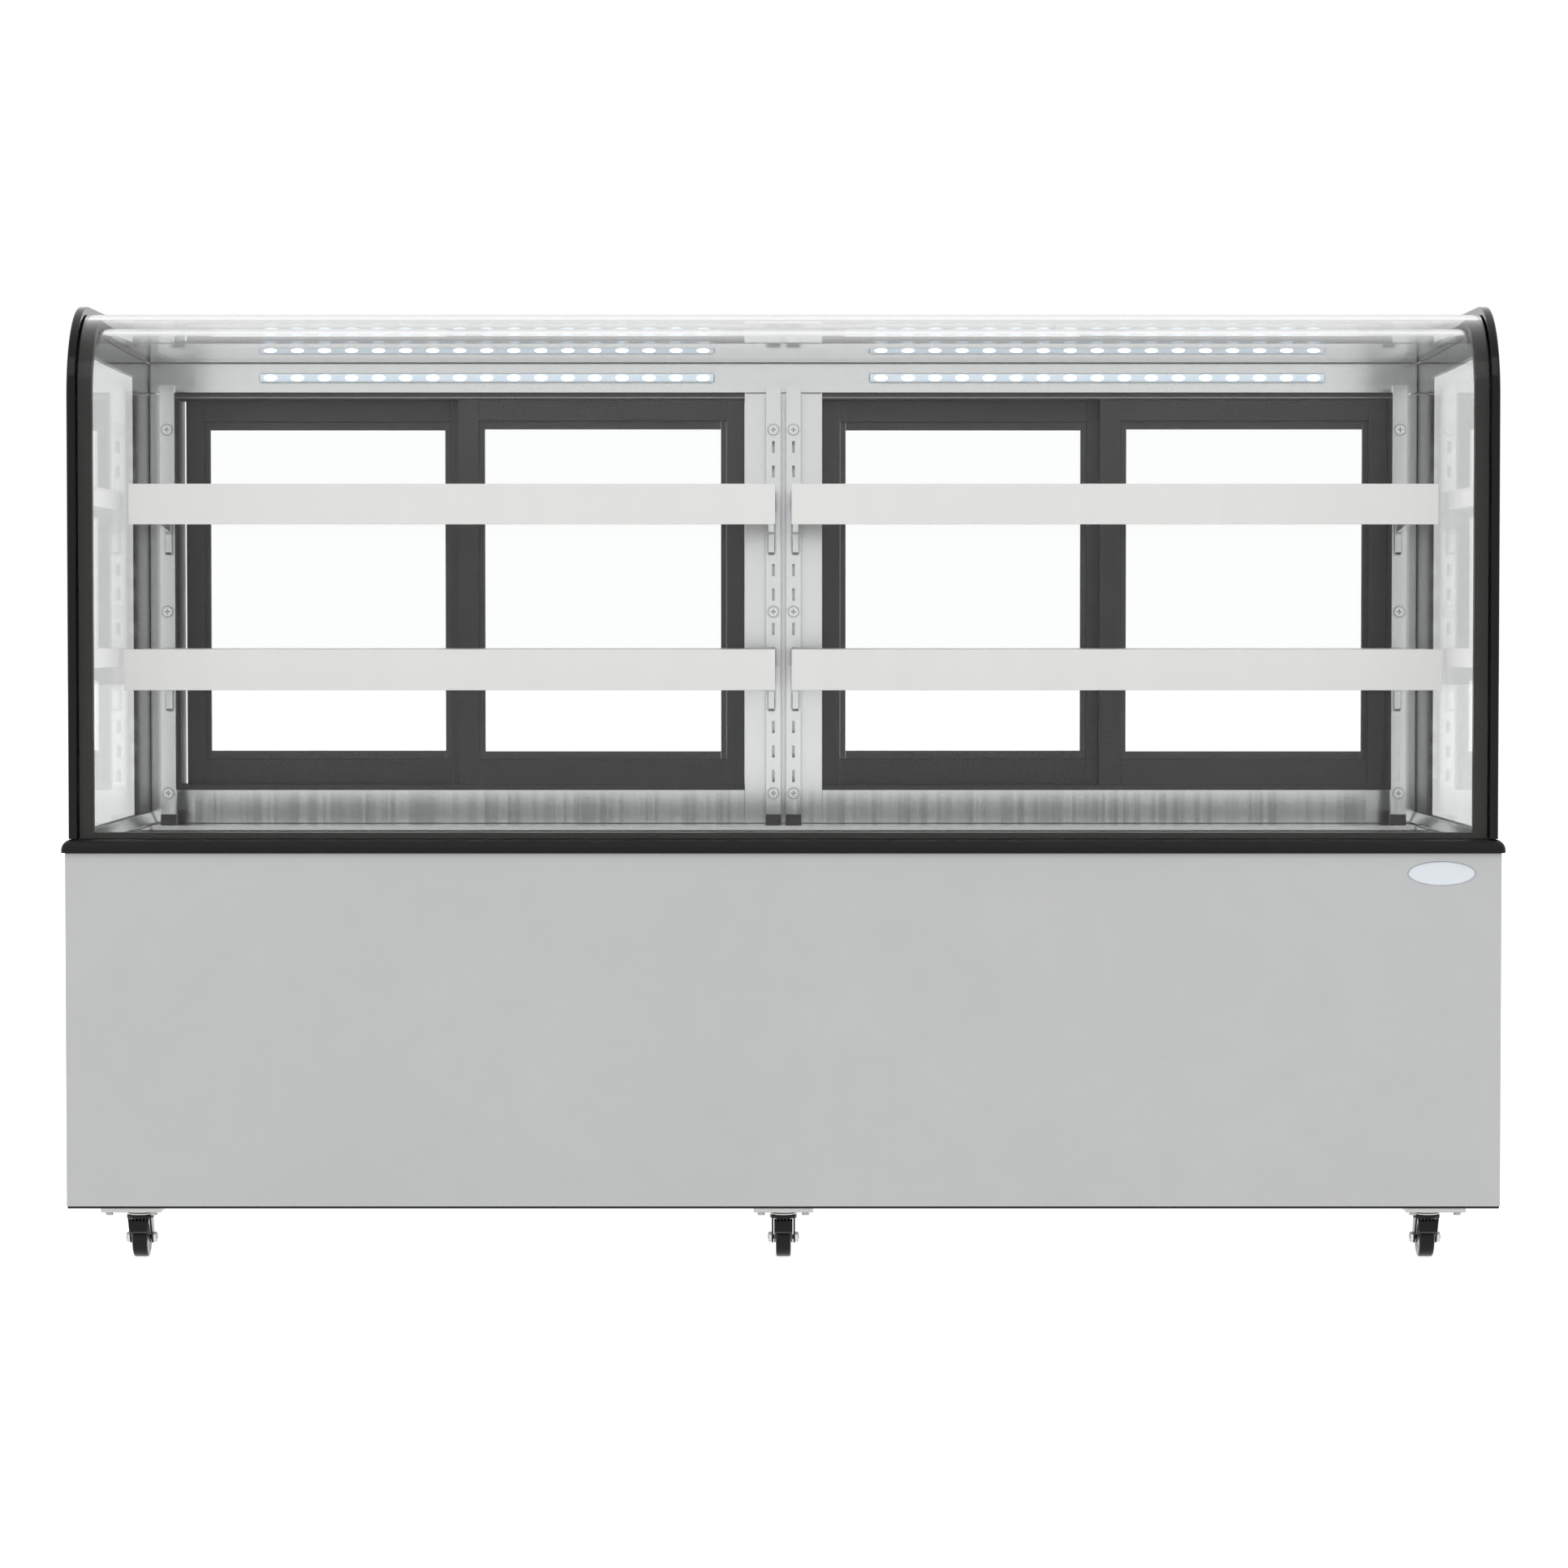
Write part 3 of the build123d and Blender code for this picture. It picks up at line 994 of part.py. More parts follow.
def brake_pedal(x, axle_y, sign):
    """Ribbed foot pad ahead of the wheel, on two thin arms that turn on the axle bolt."""
    with BuildPart() as pedal:
        with BuildSketch(Plane.YZ) as pad:
            with BuildLine():
                Polyline(
                    (axle_y - sign * 31.0, AXLE_Z + 8),
                    (axle_y - sign * 34.5, AXLE_Z + 11),
                    (axle_y - sign * 33.5, AXLE_Z + 24),
                    (axle_y - sign * 24.5, AXLE_Z + 26.2),
                    (axle_y - sign * 22.5, AXLE_Z + 24),
                    (axle_y - sign * 28.0, AXLE_Z + 16),
                    close=True,
                )
            make_face()
        along_x(pad.sketch, (x - PEDAL_ARM[1], x + PEDAL_ARM[1]))
        with BuildSketch(Plane.YZ) as arm:
            with BuildLine():
                Polyline(
                    (axle_y - sign * 31.5, AXLE_Z + 12),
                    (axle_y - sign * 25, AXLE_Z + 22),
                    (axle_y - sign * 1, AXLE_Z + 6.5),
                    (axle_y - sign * 4, AXLE_Z - 5),
                    close=True,
                )
            make_face()
            with Locations((axle_y, AXLE_Z)):
                Circle(7.0)
                Circle(AXLE_RADIUS + RUNNING, mode=Mode.SUBTRACT)
        for side in (-1, 1):
            along_x(arm.sketch, sorted((x + side * PEDAL_ARM[0], x + side * PEDAL_ARM[1])))
        for index in range(-2, 3):
            rib = x + index * 4.4
            top = AXLE_Z + 26.4
            block((rib - 0.9, rib + 0.9), sorted((axle_y - sign * 33, axle_y - sign * 26)), (top - 3, top))
    return pedal


for name, x, pivot_y, sign in CASTERS:
    keep(caster_fork(x, pivot_y, sign), f"{name}_caster_fork")
    keep(caster_wheel(x, pivot_y + sign * TRAIL), f"{name}_caster_wheel")
    if sign == 1:
        keep(brake_pedal(x, pivot_y + TRAIL, sign), f"{name}_brake_pedal")

print(len(parts_made), "pieces written")
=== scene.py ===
# %% [markdown]
# A counter-height refrigerated bakery case stands on six casters. A grey
# sheet-metal base hides the cooling machine, and a double-glazed case with a
# bent front pane stands on top of it. The CAD model gives every part its place
# and size in metres, so this lesson adds only what CAD leaves out: finishes,
# small moulded details, light and a camera.

# %% Load the frame
import math
import bmesh
import bpy
import numpy as np
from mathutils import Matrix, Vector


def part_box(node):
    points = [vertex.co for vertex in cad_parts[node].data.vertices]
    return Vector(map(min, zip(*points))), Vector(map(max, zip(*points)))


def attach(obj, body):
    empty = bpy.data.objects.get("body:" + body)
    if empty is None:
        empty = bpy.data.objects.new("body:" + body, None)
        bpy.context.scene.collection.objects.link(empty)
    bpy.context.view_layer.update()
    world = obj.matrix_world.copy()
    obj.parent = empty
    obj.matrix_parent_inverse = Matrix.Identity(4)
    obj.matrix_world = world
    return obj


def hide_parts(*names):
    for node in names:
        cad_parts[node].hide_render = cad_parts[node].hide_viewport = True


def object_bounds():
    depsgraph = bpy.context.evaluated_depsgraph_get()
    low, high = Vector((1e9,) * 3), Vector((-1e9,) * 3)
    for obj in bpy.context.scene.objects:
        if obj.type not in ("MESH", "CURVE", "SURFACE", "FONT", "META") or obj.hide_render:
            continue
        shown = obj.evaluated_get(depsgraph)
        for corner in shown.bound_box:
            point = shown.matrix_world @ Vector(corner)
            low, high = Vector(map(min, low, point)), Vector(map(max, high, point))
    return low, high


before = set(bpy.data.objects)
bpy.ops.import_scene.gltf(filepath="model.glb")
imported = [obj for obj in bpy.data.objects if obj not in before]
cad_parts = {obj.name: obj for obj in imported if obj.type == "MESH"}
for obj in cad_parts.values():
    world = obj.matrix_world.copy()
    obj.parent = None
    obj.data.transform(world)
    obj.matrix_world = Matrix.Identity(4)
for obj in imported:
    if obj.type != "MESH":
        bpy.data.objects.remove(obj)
cad_low, cad_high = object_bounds()
MM = 0.001
print("case from", [round(v, 4) for v in cad_low], "to", [round(v, 4) for v in cad_high])

# %% [markdown]
# Every new piece is a surface worked out as a whole array of points: a grid of
# rows and columns, joined by four-sided faces. Turned parts (tyres, hubs) are a
# profile carried round an axis. The helpers below make those grids and put
# them into a mesh, with doubles merged and faces pointing outwards.


# %% Mesh helpers
def grid_faces(rows, columns):
    """Faces between neighbouring rows and columns; the last column joins the first."""
    row = np.arange(rows - 1)[:, None]
    column = np.arange(columns)[None, :]
    after = (column + 1) % columns
    corners = (row * columns + column, row * columns + after,
               (row + 1) * columns + after, (row + 1) * columns + column)
    return np.stack(corners, -1).reshape(-1, 4)


SAME_POINT = 2e-6
SHARP_ANGLE = math.radians(35)


def make_piece(name, parts, finish, body):
    """One object from a list of (points, faces) parts, merged, turned outwards and riding a body."""
    points, faces, start = [], [], 0
    for part_points, part_faces in parts:
        part_points = np.asarray(part_points, float).reshape(-1, 3)
        points.append(part_points)
        faces += [tuple(int(i) + start for i in face) for face in part_faces]
        start += len(part_points)
    mesh = bpy.data.meshes.new(name)
    mesh.from_pydata(np.concatenate(points).tolist(), [], faces)
    shell = bmesh.new()
    shell.from_mesh(mesh)
    bmesh.ops.remove_doubles(shell, verts=shell.verts, dist=SAME_POINT)
    bmesh.ops.recalc_face_normals(shell, faces=shell.faces)
    shell.to_mesh(mesh)
    shell.free()
    mesh.materials.append(finish)
    mesh.polygons.foreach_set("use_smooth", np.ones(len(mesh.polygons), bool))
    mesh.set_sharp_from_angle(angle=SHARP_ANGLE)
    piece = bpy.data.objects.new(name, mesh)
    bpy.context.scene.collection.objects.link(piece)
    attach(piece, body)
    return piece


def turned(profile, centre, axis, steps):
    """Each profile point (distance along the axis, radius) makes a ring about the X or Z axis."""
    angle = np.linspace(0, 2 * np.pi, steps, endpoint=False)
    along = np.repeat(profile[:, 0:1], steps, 1)
    first = profile[:, 1:2] * np.cos(angle)
    second = profile[:, 1:2] * np.sin(angle)
    order = {"X": (along, first, second), "Z": (first, second, along)}
    points = np.stack(order[axis], -1) + np.asarray(centre, float)
    return points, grid_faces(len(profile), steps)


def pillow(low, high, radius, steps=4):
    """A block whose edges are rounded: its core corners plus radius times the direction of a sphere,
    one eighth of the sphere at each corner, and one face over each end."""
    low, high = np.asarray(low, float), np.asarray(high, float)
    middle, core = (low + high) / 2, (high - low) / 2 - radius
    quarter = np.linspace(0, np.pi / 2, steps)
    around = np.concatenate([quarter + side * np.pi / 2 for side in range(4)])
    sign_x = np.repeat([1, -1, -1, 1], steps)
    sign_y = np.repeat([1, 1, -1, -1], steps)
    lift = np.concatenate([quarter - np.pi / 2, quarter])
    sign_z = np.repeat([-1, 1], steps)
    flat = np.cos(lift)[:, None]
    x = sign_x * core[0] + radius * np.cos(around) * flat
    y = sign_y * core[1] + radius * np.sin(around) * flat
    z = (sign_z * core[2] + radius * np.sin(lift))[:, None] + 0 * x
    points = np.stack([x, y, z], -1) + middle
    columns = 4 * steps
    faces = [tuple(face) for face in grid_faces(2 * steps, columns)]
    faces.append(tuple(range(0, columns, steps)))
    faces.append(tuple(range((2 * steps - 1) * columns, 2 * steps * columns, steps)))
    return points, faces


print("mesh helpers ready")

# %% [markdown]
# Some effects show on many finishes: the soft light that a rounded edge
# catches, brush lines in steel, the orange-peel skin of sprayed paint, faint
# smears from wiping, and a painted shade that darkens crevices where shadow
# falls. Each is a shader node group, built once, with named inputs. Every
# material places the groups it needs with its own values.


# %% Shader group helpers
def new_group(name, inputs, outputs):
    """A shader node group with named sockets: inputs {name: (kind, value)}, outputs {name: kind}."""
    group = bpy.data.node_groups.new(name, "ShaderNodeTree")
    for socket, (kind, value) in inputs.items():
        made = group.interface.new_socket(socket, in_out="INPUT", socket_type=f"NodeSocket{kind}")
        made.default_value = value
    for socket, kind in outputs.items():
        group.interface.new_socket(socket, in_out="OUTPUT", socket_type=f"NodeSocket{kind}")
    return group, group.nodes.new("NodeGroupInput"), group.nodes.new("NodeGroupOutput")


def add(tree, kind, inputs=None, **settings):
    """One node with its settings; an input is given a value, or another node's output to link."""
    node = tree.nodes.new("ShaderNode" + kind)
    for name, value in settings.items():
        setattr(node, name, value)
    for name, value in (inputs or {}).items():
        if isinstance(value, bpy.types.NodeSocket):
            tree.links.new(value, node.inputs[name])
        else:
            node.inputs[name].default_value = value
    return node


def noise(tree, vector, scale, detail=3.0, rough=0.55):
    """A noise value between about 0.25 and 0.75 over the given coordinates."""
    inputs = {"Vector": vector, "Scale": scale, "Detail": detail, "Roughness": rough}
    return add(tree, "TexNoise", inputs).outputs["Fac"]


def spread(tree, value, low, high, to_low=0.0, to_high=1.0):
    """The value stretched from low..high to to_low..to_high, and held there."""
    inputs = {"Value": value, "From Min": low, "From Max": high, "To Min": to_low, "To Max": to_high}
    return add(tree, "MapRange", inputs).outputs["Result"]


# %% Shared effects
SILL_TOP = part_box("door_tracks")[0].z
LOW_FADE = (SILL_TOP - 20 * MM, SILL_TOP + 4 * MM)


def build_brushing():
    """Noise on coordinates stretched along the brush: many lines across, few changes along. Low is 1 on
    what stands just over the deck and falls to 0 above the sill; it places the painted reflection
    of the deck and rail low on the steel."""
    group, start, end = new_group("Brush lines", {"Stretch": ("Vector", (900, 900, 6))},
                                  {"Fine": "Float", "Wide": "Float", "Low": "Float"})
    place = add(group, "TexCoord").outputs["Object"]
    lines = add(group, "VectorMath", {0: place, 1: start.outputs["Stretch"]}, operation="MULTIPLY")
    group.links.new(noise(group, lines.outputs[0], 1.0, 4.0, 0.7), end.inputs["Fine"])
    group.links.new(noise(group, lines.outputs[0], 0.07, 2.0), end.inputs["Wide"])
    height = add(group, "SeparateXYZ", {"Vector": place}).outputs["Z"]
    group.links.new(spread(group, height, *LOW_FADE, 1.0, 0.0), end.inputs["Low"])
    return group


def build_smears():
    """Two noises multiplied: broad clouds, broken by finer wiping marks."""
    group, start, end = new_group("Wiping smears", {"Scale": ("Float", 3.0)}, {"Smear": "Float"})
    place = add(group, "TexCoord").outputs["Object"]
    clouds = noise(group, place, start.outputs["Scale"], 2.0)
    finer = add(group, "Math", {0: start.outputs["Scale"], 1: 9.0}, operation="MULTIPLY").outputs[0]
    marks = noise(group, place, finer, 5.0, 0.65)
    both = add(group, "Math", {0: clouds, 1: marks}, operation="MULTIPLY").outputs[0]
    group.links.new(spread(group, both, 0.12, 0.42), end.inputs["Smear"])
    return group


def build_orange_peel():
    """Fine round noise: the skin of sprayed paint or of moulded plastic."""
    group, start, end = new_group("Sprayed skin", {"Scale": ("Float", 900.0)}, {"Skin": "Float"})
    place = add(group, "TexCoord").outputs["Object"]
    group.links.new(noise(group, place, start.outputs["Scale"], 2.0), end.inputs["Skin"])
    return group


def build_soft_edge():
    """The normal blended over a small radius, so that a sharp edge catches light as a rounded one does,
    and a mask that is 1 on the edge, broken by noise where paint has rubbed thin."""
    group, start, end = new_group("Soft edges", {"Radius": ("Float", 0.001)},
                                  {"Normal": "Vector", "Edge": "Float"})
    rounded = add(group, "Bevel", {"Radius": start.outputs["Radius"]}, samples=4).outputs["Normal"]
    flat = add(group, "NewGeometry").outputs["True Normal"]
    same = add(group, "VectorMath", {0: rounded, 1: flat}, operation="DOT_PRODUCT").outputs["Value"]
    bent = spread(group, same, 0.98, 0.8)
    place = add(group, "TexCoord").outputs["Object"]
    rubbed = spread(group, noise(group, place, 60.0, 5.0, 0.7), 0.42, 0.6)
    worn = add(group, "Math", {0: bent, 1: rubbed}, operation="MULTIPLY").outputs[0]
    group.links.new(rounded, end.inputs["Normal"])
    group.links.new(worn, end.inputs["Edge"])
    return group


def build_crevice():
    """1 where the surface faces another one closely, as in a recess, and 0 in the open."""
    group, start, end = new_group("Crevice shade", {"Reach": ("Float", 0.004)}, {"Crevice": "Float"})
    open_sky = add(group, "AmbientOcclusion", {"Distance": start.outputs["Reach"]}, samples=6)
    shaded = spread(group, open_sky.outputs["AO"], 0.35, 0.95, 1.0, 0.0)
    group.links.new(shaded, end.inputs["Crevice"])
    return group


BRUSHING, SMEARS = build_brushing(), build_smears()
SKIN, SOFT_EDGE, CREVICE = build_orange_peel(), build_soft_edge(), build_crevice()
print("shared effects:", [group.name for group in (BRUSHING, SMEARS, SKIN, SOFT_EDGE, CREVICE)])

# %% [markdown]
# Every finish starts as a plain Principled shader. The shared effects are then
# linked into its colour, gloss and bump. Painted images would need unwrapped
# surfaces, but a pattern worked out in the shader needs none. Two recipes cover
# most of the case: one for paint and plastic, one for brushed metal.


# %% Material helpers
def new_finish(name, colour, rough, **sockets):
    """A material whose Principled shader holds the plain values; patterns are linked in afterwards."""
    material = bpy.data.materials.new(name)
    material.use_nodes = True
    shader = material.node_tree.nodes["Principled BSDF"]
    shader.inputs["Base Color"].default_value = (*colour, 1)
    shader.inputs["Roughness"].default_value = rough
    for socket, value in sockets.items():
        shader.inputs[socket.replace("_", " ")].default_value = value
    return material, material.node_tree, shader


def use(tree, group, **inputs):
    """The shared effect placed in a material with its own values."""
    node = tree.nodes.new("ShaderNodeGroup")
    node.node_tree = group
    for name, value in inputs.items():
        node.inputs[name].default_value = value
    return node


def tint(tree, shader, mask, low, high):
    """Base colour between two tones by a mask."""
    mix = add(tree, "Mix", data_type="RGBA")
    tree.links.new(mask, mix.inputs["Factor"])
    mix.inputs["A"].default_value = (*low, 1)
    mix.inputs["B"].default_value = (*high, 1)
    tree.links.new(mix.outputs["Result"], shader.inputs["Base Color"])


def roughen(tree, shader, mask, low, high):
    """Roughness between two values by a mask."""
    tree.links.new(spread(tree, mask, 0.0, 1.0, low, high), shader.inputs["Roughness"])


def raise_skin(tree, shader, height, strength, depth, normal):
    """A bump from a height pattern, on top of the soft-edge normal."""
    inputs = {"Height": height, "Strength": strength, "Distance": depth, "Normal": normal}
    tree.links.new(add(tree, "Bump", inputs).outputs["Normal"], shader.inputs["Normal"])


def shade(colour, factor):
    """A lighter or darker tone of a colour."""
    return tuple(channel * factor for channel in colour)


def blend_in(tree, shader, mask, over):
    """Another colour laid over what already feeds the base colour, where the mask is 1."""
    under = shader.inputs["Base Color"].links[0].from_socket
    layer = add(tree, "Mix", data_type="RGBA")
    tree.links.new(mask, layer.inputs["Factor"])
    tree.links.new(under, layer.inputs["A"])
    layer.inputs["B"].default_value = (*over, 1)
    tree.links.new(layer.outputs["Result"], shader.inputs["Base Color"])


def painted(name, colour, rough, edge=0.001, skin=900.0, depth=1.5e-6, wear=None, recess_painted_shade=0.0,
            **sockets):
    """Sprayed metal or moulded plastic: cloudy colour and gloss, fine skin and soft edges. wear is the
    tone that shows through on rubbed edges. A painted shade, a dark tone standing in for shadow,
    fills crevices as far in as the given reach."""
    material, tree, shader = new_finish(name, colour, rough, **sockets)
    smear = use(tree, SMEARS, Scale=2.5).outputs["Smear"]
    soft = use(tree, SOFT_EDGE, Radius=edge)
    tint(tree, shader, smear, shade(colour, 0.97), shade(colour, 1.02))
    if wear:
        blend_in(tree, shader, soft.outputs["Edge"], wear)
    # Painted shade: crevices get a dark tone standing in for the shadow that falls in them.
    if recess_painted_shade:
        crevice = use(tree, CREVICE, Reach=recess_painted_shade).outputs["Crevice"]
        blend_in(tree, shader, crevice, shade(colour, 0.12))
    roughen(tree, shader, smear, rough * 0.88, rough * 1.14)
    grain = use(tree, SKIN, Scale=skin).outputs["Skin"]
    raise_skin(tree, shader, grain, 0.5, depth, soft.outputs["Normal"])
    return material


def brushed(name, colour, rough, stretch, depth=1.2e-5, edge=0.0008, contrast=0.10, recess_painted_shade=0.0,
            low_painted_reflection=0.0, **sockets):
    """Brushed metal: long fine lines in colour, gloss and bump. A painted reflection darkens it low
    down in upright streaks, as dark as the value given, standing in for the mirrored deck and rail. A
    painted shade, a dark tone standing in for shadow, fills crevices as far in as the given reach."""
    material, tree, shader = new_finish(name, colour, rough, **sockets)
    lines = use(tree, BRUSHING, Stretch=stretch)
    soft = use(tree, SOFT_EDGE, Radius=edge)
    both = add(tree, "Math", {0: lines.outputs["Fine"], 1: lines.outputs["Wide"]},
               operation="ADD").outputs[0]
    mask = spread(tree, both, 0.6, 1.4)
    tint(tree, shader, mask, shade(colour, 1 - contrast), shade(colour, 1 + contrast))
    # Painted reflection: low down, darker upright streaks stand in for the mirrored deck and dark rail.
    if low_painted_reflection:
        streaks = spread(tree, lines.outputs["Wide"], 0.42, 0.66, 0.25 * low_painted_reflection, low_painted_reflection)
        low = add(tree, "Math", {0: streaks, 1: lines.outputs["Low"]}, operation="MULTIPLY")
        blend_in(tree, shader, low.outputs[0], shade(colour, 0.25))
    # Painted shade: crevices get a dark tone standing in for the shadow that falls in them.
    if recess_painted_shade:
        crevice = use(tree, CREVICE, Reach=recess_painted_shade).outputs["Crevice"]
        blend_in(tree, shader, crevice, shade(colour, 0.2))
    roughen(tree, shader, mask, rough * 0.92, rough * 1.1)
    raise_skin(tree, shader, lines.outputs["Fine"], 0.3, depth, soft.outputs["Normal"])
    return material


print("material helpers ready")

# %% [markdown]
# The base is folded from painted sheet: satin light grey, almost flat, with
# only the faintest cloudiness. The rail under the glass and the trims beside
# it are black extrusions, one satin and one glossy. Painted and moulded parts
# share one recipe, because their differences are only colour, gloss and skin.
# The white shelves use the brushed recipe, for a faint upright grain. A grey
# specular tint quietens the reflections that black parts give when seen head-on.

# %% Painted and moulded finishes
DIM, HALF = (0.2, 0.2, 0.2, 1), (0.45, 0.45, 0.45, 1)
GLOSS_BLACK = (0.003, 0.003, 0.003)
finishes = {
    "grey_panel": painted("grey_panel", (0.420, 0.424, 0.427), 0.42, wear=(0.55, 0.55, 0.55)),
    "black_rail": painted("black_rail", (0.012, 0.0115, 0.011), 0.36, edge=0.0015,
                          Specular_Tint=DIM),
    "black_trim": painted("black_trim", (0.002, 0.002, 0.002), 0.10, edge=0.0015, skin=500.0,
                          Specular_Tint=HALF),
    "black_border": painted("black_border", (0.026, 0.025, 0.023), 0.40, Specular_Tint=DIM),
    "white_shelf": brushed("white_shelf", (0.63, 0.622, 0.61), 0.38, (420, 420, 6),
                           depth=3e-6, contrast=0.02, recess_painted_shade=0.004),
    "door_black": painted("door_black", (0.022, 0.0212, 0.020), 0.38, edge=0.0012),
    "black_plastic": painted("black_plastic", (0.018, 0.018, 0.018), 0.48, depth=5e-5),
    "black_grille": painted("black_grille", (0.035, 0.035, 0.035), 0.45, wear=(0.12, 0.12, 0.12)),
    "foam_tub": painted("foam_tub", (0.66, 0.655, 0.62), 0.7, skin=350.0, depth=2e-4),
    "compressor_black": painted("compressor_black", (0.010, 0.010, 0.011), 0.22, skin=400.0),
    "fan_plastic": painted("fan_plastic", (0.022, 0.022, 0.023), 0.42),
    "switch_plastic": painted("switch_plastic", (0.012, 0.012, 0.012), 0.16),
    "fork_black": painted("fork_black", GLOSS_BLACK, 0.09, edge=0.0008, Specular_Tint=HALF),
    "pedal_black": painted("pedal_black", GLOSS_BLACK, 0.12, edge=0.0008, Specular_Tint=HALF),
    "wheel_tyre": painted("wheel_tyre", GLOSS_BLACK, 0.08, Specular_Tint=HALF),
}
print(len(finishes), "painted and moulded finishes")

# %% [markdown]
# Stainless steel is brushed upright on the posts and the sill. Low down it
# mirrors the deck and the dark rail, and a painted reflection darkens the finish
# there in upright streaks. The deck itself is brushed lengthwise and is a
# brighter copy of the same steel, a painted reflection of the bright room it
# mirrors. Steel, bright zinc, aluminium and copper are full metals, whose look
# comes from the room around them. Plain zinc plate is duller, so it is only
# partly metal.

# %% Metal finishes
UPRIGHT, LENGTHWISE = (1400, 1400, 6), (5, 1400, 1400)
finishes["stainless_steel"] = brushed("stainless_steel", (0.66, 0.666, 0.669), 0.16, UPRIGHT,
                                      depth=8e-7, contrast=0.018, recess_painted_shade=0.004, low_painted_reflection=0.5,
                                      Metallic=1.0)
# The deck's steel is a brighter copy of the stainless steel: a painted reflection of the bright
# surroundings it mirrors.
deck_steel_painted_bright = brushed("deck_steel_painted_bright", (0.80, 0.803, 0.805), 0.14, LENGTHWISE, depth=6e-7,
                     contrast=0.015, recess_painted_shade=0.004, Metallic=1.0)
finishes["bright_zinc"] = painted("bright_zinc", (0.70, 0.70, 0.69), 0.20, edge=0.0006, recess_painted_shade=0.002,
                                  Metallic=1.0)
finishes["zinc_steel"] = painted("zinc_steel", (0.60, 0.60, 0.59), 0.34, recess_painted_shade=0.006, Metallic=0.6)
finishes["coil_aluminium"] = brushed("coil_aluminium", (0.70, 0.71, 0.72), 0.28, (5, 300, 300),
                                     Metallic=1.0)
finishes["copper_line"] = painted("copper_line", (0.62, 0.29, 0.17), 0.26, Metallic=1.0)
print("metal finishes: steel, zinc, aluminium, copper")

# %% [markdown]
# Float glass is clear, and faintly green only through its edges. A glass
# shader alone would throw the case into shadow, because lamps don't shine
# through it in a path tracer. Light Path lets lamp and bounced light pass
# straight through, while the eye still sees refraction and reflections. The side panes are seen
# nearly along their face, where full glass would be a mirror. They are given an
# index of refraction far below real glass, so that they stay clear.


# %% Glass finish
def clear_glass(name, ior):
    """Principled glass for the eye, mixed with plain transparency for lamp and bounced light."""
    material, tree, shader = new_finish(name, (0.995, 1.0, 0.998), 0.0, IOR=ior,
                                        Transmission_Weight=1.0, Specular_Tint=DIM)
    smear = use(tree, SMEARS, Scale=1.6).outputs["Smear"]
    roughen(tree, shader, smear, 0.0, 0.012)
    path = add(tree, "LightPath").outputs
    passing = add(tree, "Math", {0: path["Is Shadow Ray"], 1: path["Is Diffuse Ray"]},
                  operation="MAXIMUM").outputs[0]
    clear = add(tree, "BsdfTransparent").outputs[0]
    blend = add(tree, "MixShader", {0: passing, 1: shader.outputs[0], 2: clear}).outputs[0]
    tree.links.new(blend, tree.nodes["Material Output"].inputs["Surface"])
    return material


finishes["clear_glass"] = clear_glass("clear_glass", 1.45)
side_pane = clear_glass("side_pane", 1.06)
print("glass finishes: one for the front and doors, and a clearer one for the side panes")

# %% [markdown]
# The light bars are opal covers over a row of lamps. The cover glows softly,
# and each lamp behind it makes a brighter patch, which is a separate small
# lens in front of the cover, so that the row reads from every side.


# %% Light finishes
def glowing(name, colour, strength):
    """A lit cover: a white skin that gives off light, a little uneven as moulded covers are."""
    material, tree, shader = new_finish(name, shade(colour, 0.5), 0.3)
    smear = use(tree, SMEARS, Scale=30.0).outputs["Smear"]
    mix = add(tree, "Mix", {"Factor": smear, "A": (*shade(colour, 0.94), 1), "B": (*colour, 1)},
              data_type="RGBA")
    tree.links.new(mix.outputs["Result"], shader.inputs["Emission Color"])
    shader.inputs["Emission Strength"].default_value = strength
    return material


finishes["led_lens"] = glowing("led_lens", (0.78, 0.89, 1.0), strength=0.32)
lamp_glow = glowing("lamp_glow", (0.60, 0.80, 1.0), strength=3.4)
print("light finishes:", finishes["led_lens"].name, "and", lamp_glow.name)

# %% [markdown]
# Each CAD part's material carries the name of its finish. The finish goes into
# the object's own slot, and the CAD mesh stays as it came. The side panes and
# the deck then get their own variants of glass and steel.

# %% Dress the CAD nodes
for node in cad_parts.values():
    for place in node.material_slots:
        place.link = "OBJECT"
        place.material = finishes[node.data.materials[0].name.split(".")[0]]
for node_name, finish in (("side_glass", side_pane), ("deck_pan", deck_steel_painted_bright)):
    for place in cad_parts[node_name].material_slots:
        place.material = finish
print(len(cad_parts), "nodes dressed in", len(finishes), "finishes")

# %% [markdown]
# Each light bar holds seventeen lamps at one pitch. A lamp's lens is a low oval
# dome: rings of an ellipse whose height falls from the middle to the rim as one
# minus the sixth power of the radius. They stand just proud of the bar's cover.

# %% Lamps in the light bars
LAMP_COUNT, LAMP_PITCH = 17, 37 * MM
LAMP_HALF, LAMP_PROUD = (8.8 * MM, 5.4 * MM), 1.5 * MM
LAMP_GAP = 0.05 * MM
RIM_SUNK = 0.1 * MM
LEFT_BAR, RIGHT_BAR = 0.620, 0.621
bar_low, bar_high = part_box("led_strips")
bars = ((bar_low.x, bar_low.x + LEFT_BAR), (bar_high.x - RIGHT_BAR, bar_high.x))


